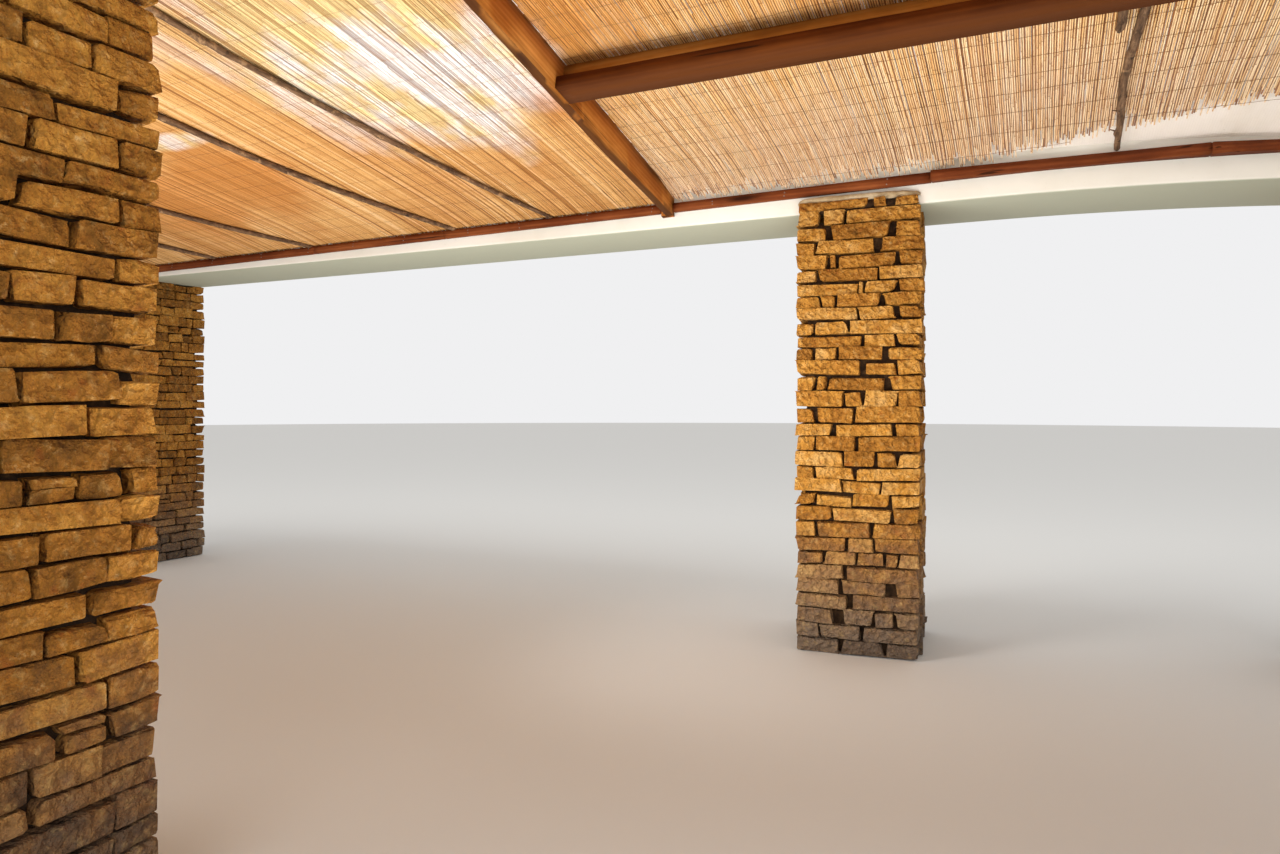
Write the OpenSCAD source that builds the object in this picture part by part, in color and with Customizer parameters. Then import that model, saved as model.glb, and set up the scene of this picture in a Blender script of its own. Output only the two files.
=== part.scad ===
// Reed-ceilinged lean-to bay on dry-laid stone piers, from a lodge built in the
// manner of round huts. A plastered ring beam on stone piers turns from a
// straight run into a round wall's curve. A timber ledger on its face and an
// outer beam on taller piers carry rafters, a purlin, crooked natural poles,
// reed mats and opal roof sheets, which rise away from the ring beam.
// X runs along the ring beam, Y towards the room behind it, Z up.
// The origin is at the middle of the centre pier's foot.

/* [Stone piers] */
// Width of each pier along the beam
pier_w = 660; // [560:10:760]
// Depth of each pier across the beam
pier_d = 680; // [620:10:780]
// How far the centre pier is turned out of line with the beam
pier_turn = 5; // [0:0.5:6]
// Height that the facing stones reach up in front of the ring beam
facing_rise = 50; // [20:5:60]
// Distance from the centre pier to the left end pier
left_span = 6250; // [5600:50:6900]
// Distance from the centre pier to the right end pier
right_span = 2590; // [2520:10:2800]
// Distance from the ring beam's piers to the outer piers
roof_depth = 3830; // [3400:10:4200]
// Place of the middle outer pier, left of the centre pier
mid_pier_offset = 1490; // [1370:10:1870]

/* [Plastered beams] */
// Width of the plastered beams
beam_w = 600; // [500:10:610]
// Height of the ring beam's underside above the floor
beam_soffit = 2410; // [2300:10:2550]
// Height of the ring beam
beam_h = 340; // [280:10:420]
// Distance from the pier's front face back to the ring beam's face
beam_setback = 60; // [45:5:75]
// Distance right of the centre pier at which the beam starts to curve
curve_start = 610; // [540:10:800]
// Radius of the curved beam's front face
curve_r = 4900; // [4700:50:6000]
// Height of the outer beam
outer_beam_h = 300; // [240:10:360]

/* [Ledger] */
// Height of the ledger boards
ledger_h = 52; // [45:1:60]
// Thickness of the ledger boards
ledger_t = 40; // [34:1:46]
// Width of plaster that shows under the ledger at the main rafter
ledger_drop = 86; // [78:1:100]
// Distance before the curve at which the first curved length of ledger starts
curve_lead = 206; // [150:2:260]
// Gap between the mortar on the centre pier and the ledger above it
mortar_gap = 6; // [4:1:12]

/* [Roof] */
// Slope of the roof, rising away from the ring beam
roof_pitch = 10; // [8:0.5:12]
// Fall of the whole roof and its ledger to the left
roof_fall = 0.64; // [0:0.02:0.7]
// Height of the left bay's mats over the ledger's top
left_rise = 24; // [16:1:30]
// Height of the right bay's mats over the ledger's top
right_rise = 52; // [44:1:60]
// Thickness of the reed mats
mat_t = 14; // [10:1:18]
// Thickness of the opal roof sheets
sheet_t = 10; // [6:1:16]
// Width of the covering bars on the sheet joints
bar_w = 60; // [50:5:80]
// Thickness of the covering bars
bar_t = 8; // [6:1:12]
// Overhang of the roof past the outer beam
eaves = 220; // [160:10:300]
// Overhang of the roof past the end piers
verge = 60; // [40:10:120]

/* [Timbers] */
// Width of the rafters
rafter_w = 76; // [70:1:84]
// Height of the main rafter, square to the slope
rafter_h = 160; // [150:1:172]
// How far the rafters' feet reach below the ledger
foot_drop = 16; // [8:1:22]
// Length over which a rafter's underside rises to its foot
taper_run = 900; // [600:50:1200]
// Width of the wane along the main rafter's lower left edge
wane_w = 30; // [20:1:40]
// Height of the wane along the main rafter's lower left edge
wane_h = 40; // [30:1:50]
// Turn of the main rafter from square to the beam
rafter_skew = 3; // [0:0.1:4]
// Place of the main rafter's foot, left of the centre pier
rafter_offset = 1096; // [1040:2:1200]
// Distance of the purlin from the ring beam's face, at the main rafter
purlin_run = 1360; // [1200:10:1500]
// Turn of the purlin from the line of the beam
purlin_skew = 1.35; // [0:0.05:2]
// Width of the purlin's lower flat timber
purlin_flat_w = 141; // [125:1:160]
// Thickness of the purlin's lower flat timber
purlin_flat_t = 58; // [50:1:64]
// Width of the purlin's upper timber
purlin_top_w = 76; // [60:1:90]
// Width of the outer plates under the pole heads
plate_w = 100; // [80:5:120]

/* [Natural poles] */
// Diameter of the natural poles
pole_d = 36; // [34:1:42]
// How far the poles wander from an even bow
pole_bend = 9; // [0:1:12]

/* [Fits] */
// Gap between pieces that are fitted beside each other
fit = 0.3; // [0.2:0.1:0.6]

/* [Hidden] */
pier_face = -pier_d / 2;
beam_face = pier_face + beam_setback;
beam_top = beam_soffit + beam_h;
left_end = -left_span - pier_w / 2;
curve_centre = beam_face + curve_r;
right_turn = asin((right_span - curve_start) / (curve_r + beam_face));
end_turn = right_turn + asin(pier_w / 2 / (curve_r + beam_face));

// The ledger's bottom, top and front at the main rafter
ledger_low = beam_soffit + ledger_drop;
ledger_top = ledger_low + ledger_h;
ledger_face = beam_face - ledger_t;

// The mortar stands this far in from the faces of the stones
mortar_inset = 8;

// The poles are drawn with this many flats, one of them upwards
pole_sides = 8;
pole_flats = pole_d * cos(180 / pole_sides);

// Rise for each unit of run, and plumb height for each unit square to the slope
slope = tan(roof_pitch);
plumb = 1 / cos(roof_pitch);

// The outer beam lies under the main rafter at its own middle line
outer_y = -roof_depth;
outer_top = ledger_top + right_rise + (mat_t - rafter_h) * plumb
    + (ledger_face - outer_y) * slope;
outer_soffit = outer_top - outer_beam_h;

// Lengths up the slope from the ledger's face
roof_run = (ledger_face - outer_y + beam_w / 2 + eaves) * plumb;
mat_end = roof_run - 90;
pole_head_run = (ledger_face - outer_y + plate_w) * plumb;

roof_left = left_end - verge;
roof_right = right_span + pier_w / 2 + 80 + verge;

// Middle lines of the rafters
rafter_x = -rafter_offset;
end_rafter_left = -left_span;
end_rafter_right = right_span;

// Gaps beside the main rafter, for the ledger, the mats and the outer plates
rafter_notch = 4;
mat_gap = 3;
plate_gap = 10;

// The poles end this far short of the beam's face
pole_inset = 5;

// Knees of the poles' bows, as a share of their run from the foot
knee_share = 0.36;

// The left bay's poles: place of the foot, then how far the knee and the head
// lean aside of it, as shares of the bay between the main rafter and the left one
left_bay = rafter_x - end_rafter_left;
left_poles = [[0.153, 0.090, 0.106], [0.299, 0.146, 0.110],
              [0.550, 0.198, 0.208], [0.748, 0.163, 0.155]];

// The right bay's pole, at its share of the way from the main rafter
right_bay = end_rafter_right - rafter_x;
right_pole_x = rafter_x + 0.638 * right_bay;

// The left bay's mats are of one width
left_mats = 5;

// In the right bay the mats meet here, and from a little further on their lower
// edge drifts away from the curving beam by this much for each unit along it
right_mat_joint = 450;
mat_drift_x = 660;
mat_drift = 0.192;

// Sheets in the left and the right bay, and their clearances: from the beam's
// face, over the ledger, and in front of it where they lie lower than its top
left_sheets = 3;
right_sheets = 2;
sheet_end_gap = 5;
sheet_clear = 2;
sheet_gap = 24;

stone_c = "goldenrod";
plaster_c = "antiquewhite";
timber_c = "saddlebrown";
pole_c = "dimgray";
reed_c = "burlywood";
opal_c = "whitesmoke";

// A point of the plan at an angle round the curve, a distance inside its face
function on_curve(turn, inward = 0) =
    [curve_start + (curve_r - inward) * sin(turn),
     curve_centre - (curve_r - inward) * cos(turn)];

// The beam's curving face, or a line that far in front of it, at a place along X
function face_line(x, proud) =
    x <= curve_start ? beam_face - proud
    : curve_centre - sqrt(pow(curve_r + proud, 2) - pow(x - curve_start, 2));

// The main rafter's middle line at a depth y
function main_x(y) = rafter_x + (beam_face - y) * tan(rafter_skew);

// A line beside the main rafter at a run up the slope, left (-1) or right (1) of it
function main_side(run, side, gap) =
    main_x(ledger_face - run / plumb) + side * (rafter_w / 2 / cos(rafter_skew) + gap);

// Tilts its children with the roof's fall to the left
module on_fall() {
    translate([rafter_x, 0, ledger_top])
        rotate([0, -roof_fall, 0])
            translate([-rafter_x, 0, -ledger_top])
                children();
}

// Places its children in the roof's plane at a height over the ledger's top:
// X along the beam, -Y up the slope
module on_slope(height) {
    on_fall()
        translate([0, ledger_face, ledger_top + height])
            rotate([-roof_pitch, 0, 0])
                children();
}

// A pier's mass about its own middle
module pier(height) {
    translate([-pier_w / 2, pier_face, 0])
        cube([pier_w, pier_d, height]);
}

// The room of the ring beam's straight run, in front of which facing stones stand
module facing_room() {
    translate([-pier_w, beam_face - fit, beam_soffit])
        cube([pier_w * 2, pier_d * 2, beam_h]);
}

module pier_centre() {
    color(stone_c)
        difference() {
            rotate([0, 0, pier_turn])
                pier(beam_soffit + facing_rise);
            facing_room();
        }
}

// The mortar smeared over the facing stones
module pier_mortar_cap() {
    foot = beam_soffit + facing_rise;
    color(plaster_c)
        difference() {
            rotate([0, 0, pier_turn])
                translate([mortar_inset - pier_w / 2, pier_face + mortar_inset, foot])
                    cube([pier_w - mortar_inset * 2, pier_d, ledger_low - mortar_gap - foot]);
            facing_room();
        }
}

module pier_inner_left() {
    color(stone_c)
        translate([-left_span, 0, 0])
            pier(beam_soffit);
}

module pier_inner_right() {
    color(stone_c)
        translate(concat(on_curve(right_turn, -beam_face), 0))
            rotate([0, 0, right_turn])
                pier(beam_soffit);
}

// An outer pier, its head cut to the outer beam's falling underside
module outer_pier(x) {
    color(stone_c)
        difference() {
            translate([x, outer_y, 0])
                pier(outer_top);
            on_fall()
                translate([x - pier_w, outer_y - pier_d, outer_soffit])
                    cube([pier_w * 2, pier_d * 2, outer_beam_h * 2]);
        }
}

module pier_outer_left() { outer_pier(-left_span); }
module pier_outer_middle() { outer_pier(-mid_pier_offset); }
module pier_outer_right() { outer_pier(right_span); }

module ring_beam_straight() {
    color(plaster_c)
        translate([left_end, beam_face, beam_soffit])
            cube([-left_end, beam_w, beam_h]);
}

// A short straight run from the centre pier, then the round wall's curve
module ring_beam_curved() {
    color(plaster_c)
        translate([0, 0, beam_soffit]) {
            translate([0, beam_face, 0])
                cube([curve_start, beam_w, beam_h]);
            translate([curve_start, curve_centre, 0])
                rotate([0, 0, -90])
                    rotate_extrude(angle = end_turn, $fn = 360)
                        translate([curve_r - beam_w, 0])
                            square([beam_w, beam_h]);
        }
}

// The outer beam falls with the roof, and its ends are cut plumb
module outer_beam(from, to) {
    color(plaster_c)
        intersection() {
            on_fall()
                translate([from - beam_w, outer_y - beam_w / 2, outer_soffit])
                    cube([to - from + beam_w * 2, beam_w, outer_beam_h]);
            translate([from, outer_y - beam_w, 0])
                cube([to - from, beam_w * 2, outer_top * 2]);
        }
}

module outer_beam_left() { outer_beam(left_end, -mid_pier_offset); }
module outer_beam_right() { outer_beam(-mid_pier_offset, right_span + pier_w / 2); }

// The ledger's lengths: left of the main rafter at shares of that run, right of
// it to the curve, then in straight chords of the curve at shares of its turn
rafter_room = rafter_w / 2 + rafter_notch;
joint_turns = [end_turn * 0.414, end_turn * 0.902];
first_chord = on_curve(joint_turns[0]) - [curve_start - curve_lead, beam_face];
ledger_lengths = [
    [left_end, rafter_x + 0.514 * (left_end - rafter_x), 0],
    [rafter_x + 0.514 * (left_end - rafter_x), rafter_x + 0.299 * (left_end - rafter_x), 0],
    [rafter_x + 0.299 * (left_end - rafter_x), rafter_x - rafter_room, 0],
    [rafter_x + rafter_room, curve_start - curve_lead, 0],
    [curve_start - curve_lead, on_curve(joint_turns[0])[0],
     atan2(first_chord[1], first_chord[0])],
    [on_curve(joint_turns[0])[0], on_curve(joint_turns[1])[0],
     (joint_turns[0] + joint_turns[1]) / 2],
    [on_curve(joint_turns[1])[0], on_curve(end_turn)[0], (joint_turns[1] + end_turn) / 2]];

// The front line, at a place along X, of a length whose back touches the beam's
// face where the face has the length's own direction
function length_front(x, turn, grow = 0) =
    let (thick = ledger_t + grow, touch = on_curve(turn))
    touch[1] - thick * cos(turn) + (x - touch[0] - thick * sin(turn)) * tan(turn);

function ledger_front(x) =
    length_front(x, x < ledger_lengths[4][0] ? 0 : x < ledger_lengths[5][0] ? ledger_lengths[4][2]
                 : x < ledger_lengths[6][0] ? ledger_lengths[5][2] : ledger_lengths[6][2]);

// A length's plan, running back into the beam
module length_plan(length, grow = 0) {
    from = length[0] - grow;
    to = length[1] - fit + grow;
    front = length_front(from, length[2], grow);
    polygon([[from, front], [to, length_front(to, length[2], grow)],
             [to, front + beam_w], [from, front + beam_w]]);
}

// All that lies between two heights over the ledger's foot
module ledger_slab(low, high) {
    on_fall()
        translate([left_end - pier_w, ledger_face - beam_w, ledger_low + low])
            cube([roof_right - left_end + pier_w * 2, curve_r, high - low]);
}

// The ring beam's room, which the ledger's back is cut to
module beam_room() {
    translate([left_end - pier_w, beam_face - fit, 0])
        cube([pier_w - left_end + curve_start, beam_w * 2, beam_top]);
    translate([curve_start, curve_centre, 0])
        cylinder(r = curve_r + fit, h = beam_top, $fn = 360);
}

module ledger(i) {
    color(timber_c)
        difference() {
            intersection() {
                linear_extrude(beam_top)
                    length_plan(ledger_lengths[i]);
                ledger_slab(0, ledger_h);
            }
            beam_room();
        }
}

module ledger_1() { ledger(0); }
module ledger_2() { ledger(1); }
module ledger_3() { ledger(2); }
module ledger_4() { ledger(3); }
module ledger_5() { ledger(4); }
module ledger_6() { ledger(5); }
module ledger_7() { ledger(6); }

// The room in and behind the ledger, which feet in front of it are cut to
module ledger_room() {
    linear_extrude(beam_top + beam_h)
        for (length = ledger_lengths)
            length_plan(length, fit);
}

// A rafter under a bay whose mats lie at a height over the ledger's top. Its
// underside rises to the foot, and it is notched over the outer beam.
module rafter(x, foot_y, skew, bay_rise) {
    height = rafter_h - (right_rise - bay_rise) / plumb;
    foot_h = (bay_rise + ledger_h + foot_drop) / plumb + mat_t;
    color(timber_c)
        difference() {
            intersection() {
                on_slope(bay_rise + mat_t * plumb)
                    rotate([90, 0, -90])
                        translate([0, 0, -x])
                            linear_extrude(rafter_w * 12, center = true)
                                polygon([[-beam_w * 2, 0], [-beam_w * 2, -foot_h], [0, -foot_h],
                                         [taper_run, -height], [roof_run, -height],
                                         [roof_run, 0]]);
                on_fall()
                    translate([x, beam_face, 0])
                        rotate([0, 0, skew])
                            translate([-rafter_w / 2, -roof_run, 0])
                                cube([rafter_w, roof_run + beam_w * 2, outer_top * 2]);
            }
            translate([x - rafter_w * 2, foot_y - fit, 0])
                cube([rafter_w * 4, beam_w * 3, outer_top]);
            on_fall()
                translate([x - roof_run, outer_y - beam_w / 2 - fit, outer_soffit])
                    cube([roof_run * 2, beam_w + fit * 2, outer_beam_h]);
        }
}

// The corner that wane takes off the main rafter, from one run to another
// between two depths of its underside
module wane(from, to, depth_from, depth_to) {
    length = norm([to - from, depth_to - depth_from]);
    on_slope(right_rise + mat_t * plumb)
        translate([main_x(ledger_face - from / plumb) - rafter_w / 2, -from, -depth_from])
            rotate([atan2(depth_to - depth_from, to - from), 0, rafter_skew])
                rotate([90, 0, 0])
                    translate([0, 0, -wane_w])
                        linear_extrude(length + wane_w * 2)
                            polygon([[-wane_w, wane_h * 2], [wane_w * 2, -wane_h],
                                     [-wane_w, -wane_h]]);
}

module rafter_left() { rafter(end_rafter_left, ledger_face, 0, left_rise); }

module rafter_main() {
    foot_h = (right_rise + ledger_h + foot_drop) / plumb + mat_t;
    color(timber_c)
        difference() {
            rafter(rafter_x, beam_face, rafter_skew, right_rise);
            wane(0, taper_run, foot_h, rafter_h);
            wane(taper_run, roof_run, rafter_h, rafter_h);
        }
}

// The right rafter reaches on to the ledger where the beam curves away
module rafter_right() {
    difference() {
        rafter(end_rafter_right, face_line(end_rafter_right + rafter_w, 0), 0, right_rise);
        ledger_room();
    }
}

// Runs up the slope to the lower and upper edge of the purlin's upper timber
function purlin_low(x) =
    (ledger_face - beam_face + purlin_run - (x - rafter_x) * tan(purlin_skew)) * plumb;
function purlin_high(x) = purlin_low(x) + purlin_top_w;

// A bar on the purlin's line, between the main rafter and the right one
module purlin_bar(width, low, high) {
    start = purlin_low(rafter_x);
    right = end_rafter_right - rafter_w / 2 - fit;
    color(timber_c)
        on_slope(right_rise)
            translate([0, 0, low])
                linear_extrude(high - low)
                    polygon([[main_side(start, 1, fit), -start], [right, -purlin_low(right)],
                             [right, -purlin_low(right) - width],
                             [main_side(start + width, 1, fit), -start - width]]);
}

// The flat timber's underside is flush with the main rafter's
purlin_top_h = rafter_h - mat_t - purlin_flat_t;
module purlin_top() { purlin_bar(purlin_top_w, -purlin_top_h, 0); }
module purlin_flat() {
    purlin_bar(purlin_flat_w, -purlin_top_h - purlin_flat_t, -purlin_top_h - fit);
}

// A plate on the outer beam that the poles' heads rest on
module outer_plate(from, to, bay_rise) {
    inner = outer_y + plate_w / 2;
    top = ledger_top + bay_rise - (pole_flats + fit * 2) * plumb
        + (ledger_face - inner) * slope;
    color(timber_c)
        on_fall()
            translate([from, outer_y - plate_w / 2, outer_top])
                cube([to - from, plate_w, top - outer_top]);
}

module outer_plate_left() {
    outer_plate(end_rafter_left + rafter_w / 2 + fit,
                main_x(outer_y + plate_w) - rafter_w / 2 - plate_gap, left_rise);
}
module outer_plate_right() {
    outer_plate(main_x(outer_y - plate_w) + rafter_w / 2 + plate_gap,
                end_rafter_right - rafter_w / 2 - fit, right_rise);
}

// A crooked pole just under a bay's mats, bowed between its foot and its head
// towards a knee. Each end is a place along X and a run up the slope. The foot
// may dip out of the mats' plane.
module pole(bay_rise, foot, head, knee_x, bend, phase, dip = 0) {
    steps = 14;
    sides = pole_sides;
    centres = [for (i = [0:steps]) let (s = i / steps, t = 1 - s)
               [foot[0] * t * t + knee_x * 2 * s * t + head[0] * s * s
                + sin(180 * s) * bend * sin(phase + 430 * s),
                -foot[1] - (head[1] - foot[1]) * (2 * s * t * knee_share + s * s),
                -pole_flats / 2 - fit - dip * pow(t, 4)]];
    ring = [for (k = [0:sides - 1]) let (a = 360 * (k + 0.5) / sides)
            [cos(a), sin(a)] * pole_d / 2];
    points = [for (c = centres) for (p = ring) [c[0] + p[0], c[1], c[2] + p[1]]];
    foot_face = [for (k = [0:sides - 1]) k];
    head_face = [for (k = [sides - 1:-1:0]) steps * sides + k];
    walls = [for (i = [0:steps - 1]) for (k = [0:sides - 1]) let (n = (k + 1) % sides)
             [i * sides + k, (i + 1) * sides + k, (i + 1) * sides + n, i * sides + n]];
    color(pole_c)
        difference() {
            on_slope(bay_rise)
                polyhedron(points, concat([foot_face, head_face], walls));
            intersection() {
                ledger_room();
                ledger_slab(-ledger_drop, ledger_h + fit);
            }
        }
}

pole_foot_run = (ledger_face - beam_face + pole_inset) * plumb;
module long_pole(i) {
    shares = left_poles[i];
    foot_x = rafter_x - shares[0] * left_bay;
    pole(left_rise, [foot_x, pole_foot_run], [foot_x - shares[2] * left_bay, pole_head_run],
         foot_x - shares[1] * left_bay, pole_bend, 70 * i);
}
module pole_1() { long_pole(0); }
module pole_2() { long_pole(1); }
module pole_3() { long_pole(2); }
module pole_4() { long_pole(3); }

// The right bay's poles stop at each side of the purlin's upper timber. The lower
// one dips at its foot to rest on the ledger.
pole_5_foot_y = face_line(right_pole_x, pole_inset);
pole_5_dip = right_rise + (ledger_face - pole_5_foot_y) * slope - pole_flats * plumb + 2;
module pole_5_lower() {
    pole(right_rise, [right_pole_x, (ledger_face - pole_5_foot_y) * plumb],
         [right_pole_x + 17, purlin_low(right_pole_x) - fit], right_pole_x - 35,
         pole_bend, 20, pole_5_dip);
}
module pole_5_upper() {
    x = right_pole_x + 50;
    pole(right_rise, [x, purlin_high(x - pole_d) + fit], [x + 30, pole_head_run], x + 10,
         pole_bend, 140);
}
module pole_stub() {
    x = right_pole_x - 58;
    head_run = purlin_low(x + pole_d) - fit;
    pole(right_rise, [x - 8, head_run - 330], [x, head_run], x - 4, pole_bend / 3, 10);
}

// A reed mat as a flat panel of the roof's plane
module mat(bay_rise, outline) {
    color(reed_c)
        on_slope(bay_rise)
            linear_extrude(mat_t)
                polygon(outline);
}

function mat_edge(i, run) =
    i == 0 ? main_side(run, -1, mat_gap)
    : i == left_mats ? end_rafter_left + rafter_w / 2 + mat_gap
    : rafter_x - left_bay * i / left_mats;
module left_mat(i) {
    mat(left_rise, [[mat_edge(i, 0) + fit, 0], [mat_edge(i - 1, 0), 0],
                    [mat_edge(i - 1, mat_end), -mat_end], [mat_edge(i, mat_end) + fit, -mat_end]]);
}
module mat_1() { left_mat(1); }
module mat_2() { left_mat(2); }
module mat_3() { left_mat(3); }
module mat_4() { left_mat(4); }
module mat_5() { left_mat(5); }

// The right bay's mats lap over the ledger, almost to the beam's face
right_mat_foot = (ledger_face - beam_face + sheet_end_gap) * plumb;
module mat_6() {
    mat(right_rise, [[main_side(right_mat_foot, 1, mat_gap), -right_mat_foot],
                     [right_mat_joint - fit, -right_mat_foot], [right_mat_joint - fit, -mat_end],
                     [main_side(mat_end, 1, mat_gap), -mat_end]]);
}
module mat_7() {
    last = end_rafter_right - rafter_w / 2 - mat_gap;
    mat(right_rise, [[right_mat_joint, -right_mat_foot], [mat_drift_x, -right_mat_foot],
                     [last, -right_mat_foot - (last - mat_drift_x) * mat_drift * plumb],
                     [last, -mat_end], [right_mat_joint, -mat_end]]);
}

// Run up the slope to a sheet's foot. It laps over the ledger to the beam, or
// stops in front of the ledger where the curving beam meets the roof lower down.
function sheet_foot(x, bay_rise) =
    let (level_y = ledger_face + (bay_rise + mat_t * plumb - sheet_clear) / slope)
    (ledger_face - max(min(face_line(x, sheet_end_gap), level_y),
                       ledger_front(x) - sheet_gap)) * plumb;

// An opal sheet between two lines, each from its foot to its head
module sheet(bay_rise, foot_from, foot_to, head_from, head_to) {
    steps = foot_to > curve_start ? 12 : 1;
    lower = [for (s = [0:steps]) let (x = foot_from + (foot_to - foot_from) * s / steps)
             [x, -sheet_foot(x, bay_rise)]];
    color(opal_c)
        on_slope(bay_rise + mat_t * plumb)
            linear_extrude(sheet_t)
                polygon(concat([[head_from, -roof_run]], lower, [[head_to, -roof_run]]));
}

// The left bay's sheets end beside the main rafter, the right bay's start on it
left_sheet_w = (rafter_x - rafter_w - roof_left) / left_sheets;
right_sheet_w = (roof_right - rafter_x) / right_sheets;
lap_foot = (ledger_face - beam_face + sheet_end_gap) * plumb;
module left_sheet(i) {
    from = roof_left + left_sheet_w * i;
    to = from + left_sheet_w - fit;
    last = i == left_sheets - 1;
    sheet(left_rise, from, last ? main_side(lap_foot, -1, mat_gap) : to,
          from, last ? main_side(roof_run, -1, mat_gap) : to);
}
module right_sheet(i) {
    from = rafter_x + right_sheet_w * i;
    to = from + right_sheet_w - fit;
    sheet(right_rise, i == 0 ? main_side(lap_foot, -1, 0) : from, to,
          i == 0 ? main_side(roof_run, -1, 0) : from, to);
}
module sheet_1() { left_sheet(0); }
module sheet_2() { left_sheet(1); }
module sheet_3() { left_sheet(2); }
module sheet_4() { right_sheet(0); }
module sheet_5() { right_sheet(1); }

// A covering bar over a joint of two sheets
module bar(x, bay_rise) {
    on_slope(bay_rise + (mat_t + sheet_t) * plumb)
        translate([x - bar_w / 2, -roof_run, 0])
            cube([bar_w, roof_run, bar_t]);
}
module sheet_bars() {
    color("silver") {
        for (i = [1:left_sheets - 1])
            bar(roof_left + left_sheet_w * i, left_rise);
        for (i = [1:right_sheets - 1])
            bar(rafter_x + right_sheet_w * i, right_rise);
    }
}

pier_centre();
pier_inner_left();
pier_inner_right();
pier_outer_left();
pier_outer_middle();
pier_outer_right();
pier_mortar_cap();
ring_beam_straight();
ring_beam_curved();
outer_beam_left();
outer_beam_right();
ledger_1();
ledger_2();
ledger_3();
ledger_4();
ledger_5();
ledger_6();
ledger_7();
outer_plate_left();
outer_plate_right();
rafter_left();
rafter_main();
rafter_right();
purlin_flat();
purlin_top();
pole_1();
pole_2();
pole_3();
pole_4();
pole_5_lower();
pole_5_upper();
pole_stub();
mat_1();
mat_2();
mat_3();
mat_4();
mat_5();
mat_6();
mat_7();
sheet_1();
sheet_2();
sheet_3();
sheet_4();
sheet_5();
sheet_bars();
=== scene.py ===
"""Looks of a reed-ceilinged lean-to bay on dry-laid stone piers.

Each class below is one trade's share of the bay: masonry, plastering, carpentry,
poles, reed mats, roof sheets and fixings. Lengths are in metres, X runs along the
ring beam, Y from the outer beam towards it and Z up.
"""
import logging
import math
import random
from collections.abc import Iterable, Sequence
from dataclasses import dataclass, field
from enum import Enum
from typing import Any

import bmesh
import bpy
import numpy as np
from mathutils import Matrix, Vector, noise


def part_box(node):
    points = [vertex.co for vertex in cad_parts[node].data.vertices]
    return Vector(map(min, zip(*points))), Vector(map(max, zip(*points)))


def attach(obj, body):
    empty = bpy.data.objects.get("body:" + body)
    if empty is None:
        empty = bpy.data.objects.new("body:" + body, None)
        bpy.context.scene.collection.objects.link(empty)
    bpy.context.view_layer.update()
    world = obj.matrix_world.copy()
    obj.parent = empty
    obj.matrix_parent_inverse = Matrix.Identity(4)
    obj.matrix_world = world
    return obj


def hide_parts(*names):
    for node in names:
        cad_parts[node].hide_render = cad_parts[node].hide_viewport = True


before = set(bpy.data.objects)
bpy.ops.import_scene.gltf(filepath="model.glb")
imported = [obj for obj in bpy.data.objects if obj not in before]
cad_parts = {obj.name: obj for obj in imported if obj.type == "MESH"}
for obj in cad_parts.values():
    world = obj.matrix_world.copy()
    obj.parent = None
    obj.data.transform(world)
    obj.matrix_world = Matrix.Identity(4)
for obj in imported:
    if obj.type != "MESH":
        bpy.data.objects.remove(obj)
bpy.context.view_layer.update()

FULL_TURN = 2 * math.pi
log = logging.getLogger("lean_to")

Piece = bpy.types.Object
Material = bpy.types.Material
Tree = bpy.types.NodeTree
Colour = tuple[float, float, float, float]
Stop = tuple[float, Colour]
Range = tuple[float, float]
Place = tuple[float, float, float]
Face = tuple[int, ...]
Part = tuple[np.ndarray, list[Face]]


def shade(red: int, green: int, blue: int) -> Colour:
    """A colour seen on a screen, as the linear values that Blender takes.

    Args:
        red, green, blue: parts of the colour, from 0 to 255.

    Returns:
        Linear red, green and blue, and full alpha.
    """
    parts = [c / 255 for c in (red, green, blue)]
    linear = [c / 12.92 if c <= 0.04045 else ((c + 0.055) / 1.055) ** 2.4 for c in parts]
    return (linear[0], linear[1], linear[2], 1.0)


# ---------------------------------------------------------------- node graphs


@dataclass(frozen=True)
class Wire:
    """A node's output, which takes part in formulas with +, - and *."""

    graph: "Graph"
    socket: bpy.types.NodeSocket

    def join(self, operation: str, first: Any, second: Any) -> "Wire":
        """The result for two numbers, or for two vectors part by part."""
        many = self.socket.type in ("VECTOR", "RGBA")
        return (self.graph.vector if many else self.graph.math)(operation, first, second)

    def __add__(self, other: Any) -> "Wire":
        """This plus the other."""
        return self.join("ADD", self, other)

    def __sub__(self, other: Any) -> "Wire":
        """This less the other."""
        return self.join("SUBTRACT", self, other)

    def __rsub__(self, other: Any) -> "Wire":
        """The other less this."""
        return self.join("SUBTRACT", other, self)

    def __mul__(self, other: Any) -> "Wire":
        """This times the other."""
        return self.join("MULTIPLY", self, other)


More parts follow.
